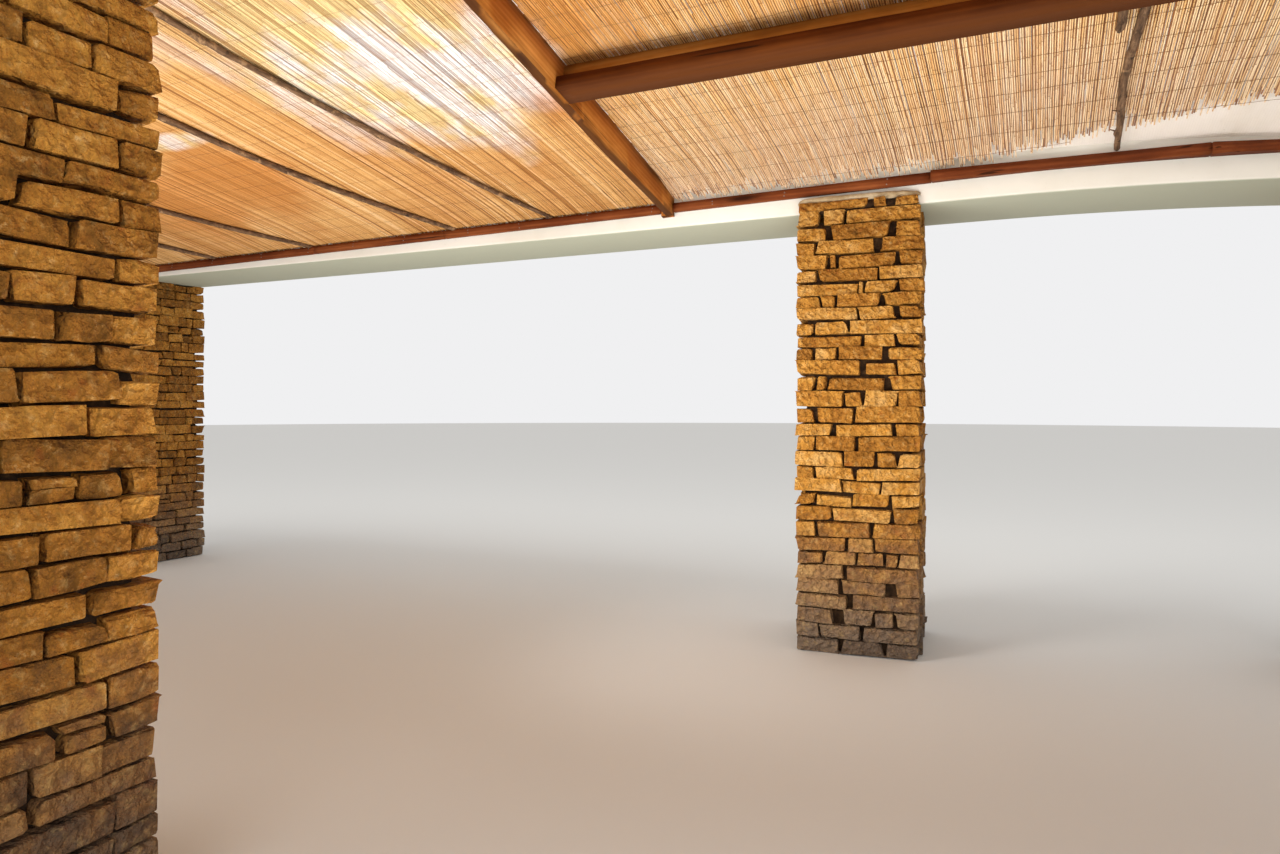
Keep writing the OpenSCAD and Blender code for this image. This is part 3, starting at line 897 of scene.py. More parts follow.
class CutSolid:
    """A CAD node's mesh, opened to be cut, eased or bent into a piece."""

    weld = 1e-5

    def __init__(self, node: str, flat: float) -> None:
        """Opens the node's mesh and takes out edges that only split flat faces.

        Args:
            node: the CAD node.
            flat: the largest angle, in degrees, that still counts as flat.
        """
        self.node = node
        self.work = bmesh.new()
        self.work.from_mesh(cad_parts[node].data)
        verts, edges = self.work.verts, self.work.edges
        bmesh.ops.remove_doubles(self.work, verts=verts, dist=self.weld)
        bmesh.ops.dissolve_limit(self.work, angle_limit=math.radians(flat), verts=verts,
                                 edges=edges)

    def cut(self, axis: int, low: float, high: float, step: float) -> None:
        """Cuts the mesh at every step along an axis."""
        work, normal = self.work, Vector([float(i == axis) for i in range(3)])
        for place in np.arange(low + step, high - step / 2, step):
            bmesh.ops.bisect_plane(work, geom=[*work.verts, *work.edges, *work.faces],
                                   plane_co=normal * place, plane_no=normal, dist=self.weld)
        work.normal_update()

    def close(self, name: str) -> Piece:
        """Turns the mesh into a piece."""
        obj = new_piece(name, [])
        self.work.to_mesh(obj.data)
        self.work.free()
        return obj


# -------------------------------------------------------------------- masonry


def stone_group() -> Tree:
    """Geometry Nodes that turn points into split stones.

    Each point carries the stone's "size", its "turn", how its ends and its top
    "lean", and how "round" its edges are.
    """
    g = GeometryGroup("split_stones", {"Roughness": 0.008, "Lump size": 0.05, "Material": None})
    block = g.out("GeometryNodeMeshCube", (2.0, 2.0, 2.0), 5, 3, 4)
    spot = g.out("GeometryNodeInputPosition")
    kept = g.out("GeometryNodeStoreNamedAttribute", block, None, "unit", spot,
                 data_type="FLOAT_VECTOR")
    laid = g.out("GeometryNodeInstanceOnPoints", g.start["Geometry"], None, kept)
    real = g.out("GeometryNodeRealizeInstances", laid)

    # outer is 1 along each axis on which a point lies on the block's surface
    unit = g.named("unit", "FLOAT_VECTOR")
    outer = g.vector("FLOOR", g.vector("ABSOLUTE", unit) + 0.01)
    reach = g.vector("DOT_PRODUCT", outer, 1.0, pick=1)
    pull = 1.0 - outer + outer * ((reach - 1.0) * 0.26)
    centre = spot - unit
    chip = (g.speckle(unit * 0.42 + centre * 37.0, 1.0, 1.0) - 0.27) * 4.3
    bevel = pull * (g.named("round") * g.math("MAXIMUM", chip, 0.15))
    shape = g.vector("SIGN", unit) * (g.named("size", "FLOAT_VECTOR") * 0.5 - bevel)

    x, _, z = g.parts(unit)
    left_lean, right_lean, top_lean = g.parts(g.named("lean", "FLOAT_VECTOR"))
    share = (x + 1.0) * 0.5
    ends = right_lean * share + left_lean * (1.0 - share)
    shape = shape + g.out("ShaderNodeCombineXYZ", ends * z, 0.0, top_lean * x)
    turn = g.add("ShaderNodeVectorRotate", shape, rotation_type="EULER_XYZ")
    g.feed(turn.inputs["Rotation"], g.named("turn", "FLOAT_VECTOR"))
    place = centre + Wire(g, turn.outputs[0])
    grit = g.speckle(place, g.math("DIVIDE", 1.0, g.start["Lump size"]), 2.0, 0.6, pick=1)
    place = place + (grit - 0.5) * (g.start["Roughness"] * 2.0)
    place = g.vector("MAXIMUM", place, (-100.0, -100.0, 0.0))
    return g.close(g.out("GeometryNodeSetPosition", real, None, place), smooth=False)


@dataclass
class StonePier:
    """A pier of split stones laid dry, with bonded corners and open joints.

    Its fall is that of the beam on it. Its bond, where it has one, is the front's courses
    from the top down, each as its stones' ends in hundredths of the pier's width.
    """

    name: str
    x: float
    y: float
    turn: float
    height: float
    seed: int
    fall: float = 0.0
    width: float = 0.66
    depth: float = 0.68
    courses: int = 33
    course_spread: Range = (0.86, 1.14)
    lengths: Range = (0.055, 0.32)
    quoins: Range = (0.10, 0.14)
    depths: Range = (0.09, 0.14)
    joint: float = 0.008
    foot_gap: float = 0.004
    roughness: float = 0.0085
    facing: float = 0.0
    tone: Range = (0.15, 0.75)
    bond: tuple[tuple[tuple[int, int], ...], ...] = ()

    def __post_init__(self) -> None:
        """Sets up the draws and the list of stones."""
        self.draw = random.Random(self.seed)
        self.stones: dict[str, list[Any]] = {}

    def row_lengths(self, length: float) -> list[float]:
        """Stones that fill a row, mostly short ones with a long one now and then."""
        d, out, left = self.draw, [], length
        while left > 0:
            low, high = self.lengths
            size = low + (high - low) * d.betavariate(1.5, 2.3)
            if left - size < low * 0.8:
                size = left
            if size > high * 1.25:
                size = left * d.uniform(0.4, 0.6)
            out.append(size)
            left -= size
        return out

    def lay(self, along: float, across: float, low: float, high: float, length: float,
            deep: float, side: int) -> None:
        """Lays one stone on a side of the pier.

        Args:
            along: middle of the stone along its side.
            across: distance of that side's face from the pier's middle.
            low, high: bottom and top of its course.
            length: space that it has along the side.
            deep: its depth into the pier.
            side: 0 front, 1 right, 2 back, 3 left.
        """
        d = self.draw
        gap = self.joint * d.uniform(0.2, 1.8)
        bed = self.joint * d.uniform(0.1, 0.9)
        if d.random() < 0.25:
            bed += (high - low) * d.uniform(0.04, 0.16)
        size = (max(length - gap, 0.02), deep, max(high - low - bed, 0.012))
        out = across - deep / 2 + min(max(d.gauss(-0.003, 0.006), -0.02), 0.004)
        angle = math.radians(self.turn + 90 * side)
        x, y = turned(along, -out, angle)
        slant = 0.12 * min(size[0], size[2])
        stone = {
            "centre": (self.x + x, self.y + y, low + size[2] / 2 + self.joint * 0.2),
            "size": size,
            "turn": (math.radians(d.gauss(0, 1.6)), math.radians(d.gauss(0, 1.0)),
                     angle + math.radians(d.gauss(0, 1.8))),
            "lean": (d.gauss(0, slant), d.gauss(0, slant), d.gauss(0, 0.003)),
            "round": min(d.uniform(0.005, 0.012), 0.3 * min(size)),
            "shade": d.uniform(*self.tone)}
        for key, value in stone.items():
            self.stones.setdefault(key, []).append(value)

    def depth_of(self, n: int, count: int, quoin: float) -> float:
        """Depth of a row's n-th stone: the end ones are quoins, the others vary."""
        return quoin if n in (0, count - 1) else self.draw.uniform(*self.depths)

    def lay_row(self, side: int, low: float, high: float, start: float, end: float,
                across: float, quoin: float) -> None:
        """Lays a row of stones along one side, with a few stacked slivers."""
        at = start
        lengths = self.row_lengths(end - start)
        for n, length in enumerate(lengths):
            deep = self.depth_of(n, len(lengths), quoin)
            beds = [low, high]
            if 0 < n < len(lengths) - 1 and length < 0.13 and self.draw.random() < 0.12:
                beds.insert(1, low + (high - low) * self.draw.uniform(0.4, 0.6))
            for bottom, top in zip(beds, beds[1:]):
                self.lay(at + length / 2, across, bottom, top, length, deep, side)
            at += length

    def lay_bonded(self, low: float, high: float, spans: Sequence[tuple[int, int]],
                   quoin: float) -> None:
        """Lays a course of the front to the set bond, with its corners a quoin deep."""
        for n, (start, end) in enumerate(spans):
            deep = self.depth_of(n, len(spans), quoin)
            middle = ((start + end) / 200 - 0.5) * self.width
            self.lay(middle, self.depth / 2, low, high,
                     (end - start) / 100 * self.width + self.joint * 0.4, deep, 0)

    def lay_facing(self, foot: float) -> None:
        """Lays the stones that stand in front of the ring beam."""
        for start, end in ((-0.318, 0.056), (0.078, 0.150), (0.190, 0.318)):
            middle = (start + end) / 2
            space = self.depth / 2 + self.beam_line(middle) - 0.006
            self.lay(middle, self.depth / 2, foot, foot + self.facing, end - start,
                     min(space, 0.075), 0)

    def beam_line(self, along: float, gap: float = 0.0) -> float:
        """The ring beam's face behind the pier's middle, and a gap off it."""
        turn = math.radians(self.turn)
        return (ROOF.beam_face - self.y - gap - along * math.sin(turn)) / math.cos(turn)

    def build(self, group: Tree, palette: Palette) -> None:
        """Lays the pier with the stones' Geometry Nodes and fits it."""
        steps = [self.draw.uniform(*self.course_spread) for _ in range(self.courses)]
        scale = (self.height - self.foot_gap) / sum(steps)
        levels = self.foot_gap + np.cumsum([0.0, *steps]) * scale
        half_w, half_d = self.width / 2, self.depth / 2
        for i, (low, high) in enumerate(zip(levels, levels[1:])):
            quoin = self.draw.uniform(*self.quoins)
            from_top = self.courses - 1 - i
            bonded = from_top < len(self.bond)
            front = quoin * (1.8 if i % 2 else 1.0)
            for side in range(4):
                if bonded and side == 0:
                    self.lay_bonded(low, high, self.bond[from_top], front)
                    continue
                across, reach = (half_d, half_w) if side % 2 == 0 else (half_w, half_d)
                lap = 0.0 if (side + i) % 2 == 0 else quoin
                self.lay_row(side, low, high, (front if bonded and side == 1 else lap) - reach,
                             reach - (front if bonded and side == 3 else lap), across, quoin)
        if self.facing:
            self.lay_facing(levels[-1])
        obj = new_piece(f"stones_{self.name}", self.stones.pop("centre"))
        for key, values in self.stones.items():
            carry(obj, key, values)
        run_group(obj, group, Roughness=self.roughness, Material=palette.stone)
        if self.fall:
            self.tilt_head(obj)
        fit_piece(obj, [f"pier_{self.name}"])
        self.build_hearting(palette)

    def tilt_head(self, obj: Piece) -> None:
        """Leans the courses so that the head follows the beam's falling underside."""
        points = np.array([v.co for v in obj.data.vertices])
        points[:, 2] *= 1 + self.fall * (points[:, 0] - self.x) / self.height
        obj.data.vertices.foreach_set("co", points.ravel())
        obj.data.update()

    def build_hearting(self, palette: Palette) -> None:
        """Fills the pier behind its stones with near-black rubble, painted shade for the open
        joints.
        """
        inset = step = 0.05
        angle, top = math.radians(self.turn), self.height - 0.012
        w, d = self.width / 2 - inset, self.depth / 2 - inset
        corners = np.array([(-w, -d), (w, -d), (w, d), (-w, d), (-w, -d)])
        plan = [turned(*(a + (b - a) * k / 8), angle)
                for a, b in zip(corners, corners[1:]) for k in range(8)]
        rings = []
        for z in np.arange(0.002, top, step):
            ring = []
            for px, py in plan:
                near = Vector(((self.x + px) * 14, (self.y + py) * 14, z * 14))
                swell = 1 + 0.048 * noise.noise(near)
                ring.append((self.x + px * swell, self.y + py * swell, z))
            rings.append(np.array(ring))
        parts = [sweep(rings)]
        # painted shade: a near-black backing behind the facing stones darkens the gaps between
        # them
        if self.facing:
            painted_shade_backing = []
            for along in np.linspace(-0.305, 0.305, 24):
                back = self.beam_line(along, BEAM_GAP)
                front = 0.024 - self.depth / 2 + 0.008 * ripple(along * 40)
                outline = [(v, z) for z in (top, self.height + self.facing * 0.8)
                           for v in (front, back)]
                ring = [(*turned(along, v, angle), z) for v, z in
                        (outline[0], outline[1], outline[3], outline[2])]
                painted_shade_backing.append(np.array(ring) + (self.x, self.y, 0.0))
            parts.append(sweep(painted_shade_backing))
        fit_solid(f"stones_{self.name}_hearting", join_parts(parts), (),
                  palette.hearting)


class Masonry:
    """The six piers and the mortar at the centre pier's head."""

    centre_turn = 5.0  # degrees out of line with the ring beam
    mortar_half = 0.322
    mortar_face = -0.331
    mortar_foot = 2.4535
    mortar_top = 2.4895
    mortar_lip = 0.012  # least height, and how far the top edge is rounded back
    centre_bond = (
        ((2, 19), (23, 39), (41, 99)), ((0, 24), (29, 75), (80, 100)),
        ((0, 16), (17, 63), (69, 101)), ((0, 26), (27, 33), (34, 80), (82, 101)),
        ((0, 17), (18, 66), (67, 100)), ((0, 50), (51, 55), (56, 80), (82, 101)),
        ((0, 19), (20, 32), (33, 68), (70, 100)), ((0, 50), (51, 79), (82, 100)),
        ((0, 14), (15, 42), (44, 100)), ((0, 53), (55, 80), (81, 99)),
        ((0, 14), (16, 33), (35, 69), (73, 100)), ((0, 52), (56, 81), (82, 100)),
        ((0, 16), (17, 25), (26, 71), (75, 100)), ((0, 39), (40, 53), (55, 81), (82, 99)),
        ((0, 15), (17, 47), (49, 99)), ((0, 29), (33, 77), (79, 98)),
        ((0, 15), (16, 48), (50, 99)), ((-1, 38), (39, 63), (65, 80), (82, 99)),
        ((0, 15), (16, 47), (49, 99)), ((-1, 37), (38, 68), (70, 99)),
        ((0, 16), (17, 45), (46, 75), (77, 98)), ((0, 29), (31, 76), (78, 97)),
        ((0, 15), (18, 60), (62, 99)), ((0, 40), (42, 62), (63, 98)),
        ((0, 22), (24, 49), (50, 70), (72, 81), (82, 98)), ((0, 38), (40, 98)),
        ((0, 35), (38, 72), (80, 98)), ((0, 42), (45, 98)),
        ((0, 30), (38, 62), (63, 78), (80, 98)), ((0, 18), (20, 52), (54, 98)),
        ((0, 35), (37, 70), (72, 98)))

    def build(self, palette: Palette) -> None:
        """Builds the piers and the mortar."""
        # painted shade: every pier but the centre one takes a darker range of stone tones
        piers = [StonePier("centre", 0.0, 0.0, self.centre_turn, SOFFIT, 11, facing=0.05,
                           courses=len(self.centre_bond), tone=(0.22, 0.78),
                           bond=self.centre_bond),
                 StonePier("inner_left", -6.25, 0.0, 0.0, SOFFIT, 12, tone=(0.0, 0.55)),
                 StonePier("inner_right", 2.59, 0.446, 25.37, SOFFIT, 13, tone=(0.0, 0.55))]
        for name, x, seed in (("left", -6.25, 14), ("middle", -1.49, 15), ("right", 2.59, 16)):
            piers.append(StonePier(f"outer_{name}", x, OUTER_ROW, 0.0,
                                   OUTER_SOFFIT + ROOF.lift(x), seed, math.tan(ROOF.fall),
                                   courses=37, tone=(0.0, 0.5)))
            if name == "middle":
                piers[-1].lengths, piers[-1].joint = (0.09, 0.42), 0.013
        group = stone_group()
        for pier in piers:
            pier.build(group, palette)
        self.build_mortar(palette, piers[0])

    def build_mortar(self, palette: Palette, pier: StonePier) -> None:
        """Smears mortar between the centre pier's facing stones and the ledger."""
        columns, lip, rings = 90, self.mortar_lip, []
        for t in np.arange(columns + 1) / columns:
            along = self.mortar_half * (2 * t - 1)
            front = self.mortar_face + 0.009 * ripple(along * 26, 0, 1)
            low = self.mortar_foot + 0.008 * ripple(along * 21, 5, 1)
            back = pier.beam_line(along, BEAM_GAP)
            ease = math.sqrt(max(0.0, 1 - (abs(2 * t - 1) ** 6)))
            top = low + lip + (self.mortar_top - low - lip) * ease
            top -= 0.004 * max(0.0, ripple(along * 17, 3))
            front += 0.014 * (1 - ease)
            outline = ((front + 0.004, low), (back, low), (back, top), (front + lip, top),
                       (front + 0.004, top - 0.004), (front, (low + top) / 2))
            rings.append(np.array([(*turned(along, v, math.radians(pier.turn)), z)
                                   for v, z in outline]))
        fit_solid("mortar_smear", sweep(rings), ["pier_mortar_cap"], palette.mortar)


# ----------------------------------------------------------------- plastering


@dataclass
class PlasteredBeam:
    """A plastered beam with softly rounded arrises, swept along its line."""

    name: str
    nodes: tuple[str, ...]
    low: float
    height: float
    width: float = 0.60
    arris: float = 0.014
    end_arris: float = 0.006
    wave: float = 0.0016

    def outline(self) -> list[tuple[float, float]]:
        """The cross-section: distance behind the face, and height over the underside."""
        r, w, h, out = self.arris, self.width, self.height, []
        for cx, cz, start, mid in ((r, r, 180, (w / 2, 0.0)), (w - r, r, 270, (w, h / 2)),
                                   (w - r, h - r, 0, (w / 2, h)), (r, h - r, 90, (0.0, h / 2))):
            for a in np.radians(start + 90 * np.arange(5) / 4):
                out.append((cx + r * math.cos(a), cz + r * math.sin(a)))
            out.append(mid)
        return out

    def build(self, stations: Sequence[tuple[float, float, float, float]],
              palette: Palette) -> None:
        """Sweeps the beam.

        Args:
            stations: x and y of the face's line, the direction's angle and the lift.
            palette: the finishes.
        """
        section, rings, last = self.outline(), [], len(stations) - 1
        for i, (x, y, angle, lift) in enumerate(stations):
            ring = []
            for v, h in section:
                if i in (0, last):
                    v = min(max(v, self.end_arris), self.width - self.end_arris)
                    h = min(max(h, self.end_arris), self.height - self.end_arris)
                px, py = x - v * math.sin(angle), y + v * math.cos(angle)
                pz = self.low + lift + h
                n = ripple(px * 1.7, py * 1.7, pz * 3)
                inward = 1 if v < self.width / 2 else -1
                push = self.wave * (0.6 + 0.6 * n) * inward
                ring.append((px - push * math.sin(angle), py + push * math.cos(angle),
                             pz + self.wave * 0.6 * abs(n) * (1 if h < self.height / 2 else -1)))
            rings.append(np.array(ring))
        fit_solid(self.name, sweep(rings), self.nodes, palette.plaster)


class Plastering:
    """The ring beam and the outer beam."""

    right_end = 2.92
    curve_start = 0.61
    curve_r = 4.9
    end_turn = math.radians(29.47)

    def build(self, palette: Palette) -> None:
        """Builds both beams."""
        step = 0.09
        straight = np.linspace(LEFT_END, self.curve_start,
                               round((self.curve_start - LEFT_END) / step))
        stations = [(x, ROOF.beam_face, 0.0, 0.0) for x in straight]
        centre_y = ROOF.beam_face + self.curve_r
        for turn in np.linspace(0, self.end_turn, 30)[1:]:
            stations.append((self.curve_start + self.curve_r * math.sin(turn),
                             centre_y - self.curve_r * math.cos(turn), turn, 0.0))
        PlasteredBeam("plastered_ring_beam", ("ring_beam_straight", "ring_beam_curved"),
                      SOFFIT, 0.34).build(stations, palette)
        outer = PlasteredBeam("plastered_outer_beam", ("outer_beam_left", "outer_beam_right"),
                              OUTER_SOFFIT, 0.30)
        outer.build([(x, OUTER_ROW - outer.width / 2, 0.0, ROOF.lift(x))
                     for x in np.linspace(LEFT_END, self.right_end, 100)], palette)


# ------------------------------------------------------------------ carpentry


@dataclass
class SawnTimber:
    """A sawn timber: the solid's shape with eased edges and a slightly uneven surface."""

    node: str
    name: str
    material: Material
    axis: int = 0
    spacing: float = 0.07
    ease: float = 0.003
    sharp: float = 20.0
    shaded_sharp: float = 50.0
    uneven: float = 0.0012

    def build(self) -> None:
        """Shapes the timber and fits it."""
        solid = CutSolid(self.node, flat=0.6)
        work = solid.work
        sharp = [e for e in work.edges if len(e.link_faces) == 2
                 and e.calc_face_angle(0.0) > math.radians(self.sharp)]
        bmesh.ops.bevel(work, geom=sharp, offset=self.ease, segments=2, affect="EDGES",
                        clamp_overlap=True)
        places = [v.co[self.axis] for v in work.verts]
        solid.cut(self.axis, min(places), max(places), self.spacing)
        shifts = []
        for v in work.verts:
            bend = noise.noise(v.co * 5.0) + 0.5 * noise.noise(v.co * 23.0)
            shifts.append(v.normal * (self.uneven * (0.7 * bend - 0.6)))
        for v, shift in zip(work.verts, shifts):
            v.co += shift
        obj = solid.close(self.name)
        obj.data.polygons.foreach_set("use_smooth", [True] * len(obj.data.polygons))
        obj.data.set_sharp_from_angle(angle=math.radians(self.shaded_sharp))
        fit_piece(obj, [self.node], self.material)


def set_heads(name: str, places: Sequence[Place], turn: float, radius: float, proud: float,
              material: Material) -> None:
    """Sets a small domed head on each point, with Geometry Nodes, and fits the piece.

    Args:
        name: the piece's name.
        places: the heads' places.
        turn: their turn about X.
        radius, proud: their size.
        material: their finish.
    """
    g = GeometryGroup(name, {"Radius": 0.004, "Proud": 0.002, "Material": None})
    dome = g.out("GeometryNodeMeshUVSphere", 10, 6, 1.0)
    flat = g.add("GeometryNodeTransform", dome)
    g.feed(flat.inputs["Scale"], g.out("ShaderNodeCombineXYZ", g.start["Radius"],
                                       g.start["Radius"], g.start["Proud"]))
    angle = g.out("FunctionNodeEulerToRotation", g.named("turn", "FLOAT_VECTOR"))
    group = g.close(g.out("GeometryNodeInstanceOnPoints", g.start["Geometry"], None,
                          Wire(g, flat.outputs[0]), None, None, angle))
    obj = new_piece(name, places)
    carry(obj, "turn", [(turn, 0.0, 0.0)] * len(places))
    run_group(obj, group, Radius=radius, Proud=proud, Material=material)
    fit_piece(obj)


class Carpentry:
    """Ledger, plates, rafters, purlin and the nail heads on the ledger."""

    nail_line = (-6.45, 0.36)
    nail_levels = (2.511, 2.533)
    nail_spacing = (0.38, 0.55)
    nail_shift = 0.01
    nail_drop = 0.004

    def build(self, palette: Palette) -> None:
        """Builds every timber."""
        for i in range(1, 8):
            SawnTimber(f"ledger_{i}", f"ledger_board_{i}", palette.ledger).build()
        for side in ("left", "right"):
            SawnTimber(f"outer_plate_{side}", f"wall_plate_{side}", palette.ledger).build()
            SawnTimber(f"rafter_{side}", f"end_rafter_{side}", palette.rafter, axis=1).build()
        SawnTimber("rafter_main", "middle_rafter", palette.rafter, axis=1, uneven=0.002).build()
        SawnTimber("purlin_top", "purlin_batten", palette.purlin_top).build()
        SawnTimber("purlin_flat", "purlin_plank", palette.purlin_flat, uneven=0.0016).build()
        self.drive_nails(palette)

    def drive_nails(self, palette: Palette) -> None:
        """Drives two nails into the ledger's face at every half metre or so."""
        draw, places = random.Random(5), []
        x, end = self.nail_line
        while x < end:
            for level in self.nail_levels:
                z = level + draw.uniform(-self.nail_drop, self.nail_drop) + ROOF.lift(x)
                places.append((x + draw.uniform(-self.nail_shift, self.nail_shift),
                               ROOF.ledger_face + 0.0006, z))
            x += draw.uniform(*self.nail_spacing)
        set_heads("ledger_nails", places, math.pi / 2, 0.0042, 0.0016, palette.screw)


# ---------------------------------------------------------------------- poles


@dataclass
class NaturalPole:
    """A crooked natural pole with bark, knots and a few twig stubs.

    Its foot and its head are a place along X and a run up the slope. A twig stub is
    its share of the pole's length, its side as an angle and its own length.
    """

    node: str
    bay: Bay
    foot: tuple[float, float]
    head: tuple[float, float]
    knee: float
    phase: float
    girth: Range
    seed: int
    bend: float = 0.009
    dip: float = 0.0
    drop: float = 0.0169
    knee_share: float = 0.36
    wobble: float = 0.0055
    knot_reach: float = 0.022
    sides: int = 14
    step: float = 0.028
    twigs: tuple[Place, ...] = ()

    def centre(self, s: float) -> Place:
        """Place along X, run and height of the pole's middle at a share of its length."""
        t = 1 - s
        x = self.foot[0] * t * t + self.knee * 2 * s * t + self.head[0] * s * s
        ease = math.sin(math.pi * s)
        x += ease * self.bend * math.sin(math.radians(self.phase + 430 * s))
        length = self.head[1] - self.foot[1]
        x += self.wobble * min(1.0, 3 * ease) * ripple(s * length * 4.5, self.seed)
        run = self.foot[1] + length * (2 * s * t * self.knee_share + s * s)
        return x, run, -self.drop - self.dip * t ** 4

    def build(self, palette: Palette) -> None:
        """Shapes the pole and fits it."""
        draw = random.Random(self.seed)
        length = self.head[1] - self.foot[1]
        count = max(12, round(length / self.step))
        knots = [(draw.uniform(0.04, 0.96), draw.uniform(0, FULL_TURN),
                  draw.uniform(0.14, 0.38)) for _ in range(max(2, round(length * 6)))]
        rings = []
        for i in range(count + 1):
            s = i / count
            x, run, height = self.centre(s)
            thick = self.girth[0] + (self.girth[1] - self.girth[0]) * s
            ends = min(1.0, 0.55 + 0.8 * min(i, count - i))
            ring = []
            for a in np.arange(self.sides) * (FULL_TURN / self.sides):
                spot = Vector((math.cos(a) * 1.4, math.sin(a) * 1.4, run * 11 + self.seed))
                r = thick * (1 + 0.12 * noise.noise(spot) + 0.07 * noise.noise(spot * 3.1))
                for place, side, swell in knots:
                    near = math.exp(-((s - place) * length / self.knot_reach) ** 2)
                    r += thick * swell * near * max(0.0, math.cos(a - side))
                r *= ends
                ring.append((x + r * math.cos(a), run, height + r * math.sin(a)))
            rings.append(ROOF.place(*np.array(ring).T, self.bay))
        part = join_parts([sweep(rings), *(self.twig(*stub) for stub in self.twigs)])
        fit_solid(self.node.replace("pole", "bark_pole"), part, [self.node],
                  palette.bark)

    def twig(self, s: float, side: float, length: float) -> Part:
        """A tapered twig stub at a share of the pole's length."""
        x, run, height = self.centre(s)
        rings = []
        for t in np.arange(6) / 5:
            reach = self.girth[0] * 0.5 + (self.girth[0] * 0.5 + length) * t
            cx = x + reach * math.cos(side)
            cy = run + length * 0.9 * t + 0.004 * math.sin(4 * t)
            cz = height + reach * math.sin(side) * 0.4
            r = 0.0048 * (1 - 0.55 * t)
            a = np.linspace(0, FULL_TURN, 9)[:-1]
            rings.append(ROOF.place(cx + r * math.sin(side) * np.cos(a), cy + r * np.sin(a),
                                    cz + r * np.cos(a), self.bay))
        return sweep(rings)


class Poles:
    """The natural poles of both bays, and the wire round one foot.

    The left bay's poles are given by the foot's place, and the knee's and the head's
    drift from it, as shares of the bay, and by their radius at both ends.
    """

    foot_run: float = -0.0355
    head_run: float = 3.666
    wire_share: float = 0.028
    wire_reach: Range = (0.0178, 0.0165)
    wire_pitch: float = 0.0016
    wire_slant: float = 0.004
    wire_girth: float = 0.0011
    left = ((0.153, 0.090, 0.106, (0.0125, 0.016)), (0.299, 0.146, 0.110, (0.0155, 0.0185)),
            (0.550, 0.198, 0.208, (0.015, 0.018)), (0.748, 0.163, 0.155, (0.015, 0.018)))

    def build(self, palette: Palette) -> None:
        """Builds every pole."""
        poles = []
        for i, (foot, knee, head, girth) in enumerate(self.left):
            x = ROOF.pivot_x - foot * LEFT_BAY
            poles.append(NaturalPole(f"pole_{i + 1}", Bay.LEFT, (x, self.foot_run),
                                     (x - head * LEFT_BAY, self.head_run), x - knee * LEFT_BAY,
                                     70.0 * i, girth, 30 + i))
        poles += [
            NaturalPole("pole_5_lower", Bay.RIGHT, (1.2557, -0.0789), (1.2727, 1.2838), 1.2207,
                        20.0, (0.0135, 0.0175), 40, dip=0.0065,
                        twigs=((0.17, 2.6, 0.030), (0.34, 2.9, 0.024))),
            NaturalPole("pole_5_upper", Bay.RIGHT, (1.3057, 1.3601), (1.3357, self.head_run),
                        1.3157, 140.0, (0.016, 0.018), 41),
            NaturalPole("pole_stub", Bay.RIGHT, (1.1897, 0.9543), (1.1977, 1.2843), 1.1937,
                        10.0, (0.0165, 0.017), 42, bend=0.003)]
        for pole in poles:
            pole.build(palette)
        self.tie_wire(palette, poles[1])

    def tie_wire(self, palette: Palette, pole: NaturalPole) -> None:
        """Ties a pole's foot with three turns of wire."""
        x, run, height = pole.centre(self.wire_share)
        turns = np.arange(76) / 24
        cos, sin = np.cos(FULL_TURN * turns), np.sin(FULL_TURN * turns)
        across, up = self.wire_reach
        wire = Strands()
        along = run + self.wire_pitch * turns + self.wire_slant * sin
        wire.add(ROOF.place(x + across * cos, along, height + up * sin, pole.bay),
                 girth=self.wire_girth)
        wire.build("tie_wire", strand_group("tie_wire_strand"), 6, palette.wire, "bar")


# ------------------------------------------------------------------ reed mats


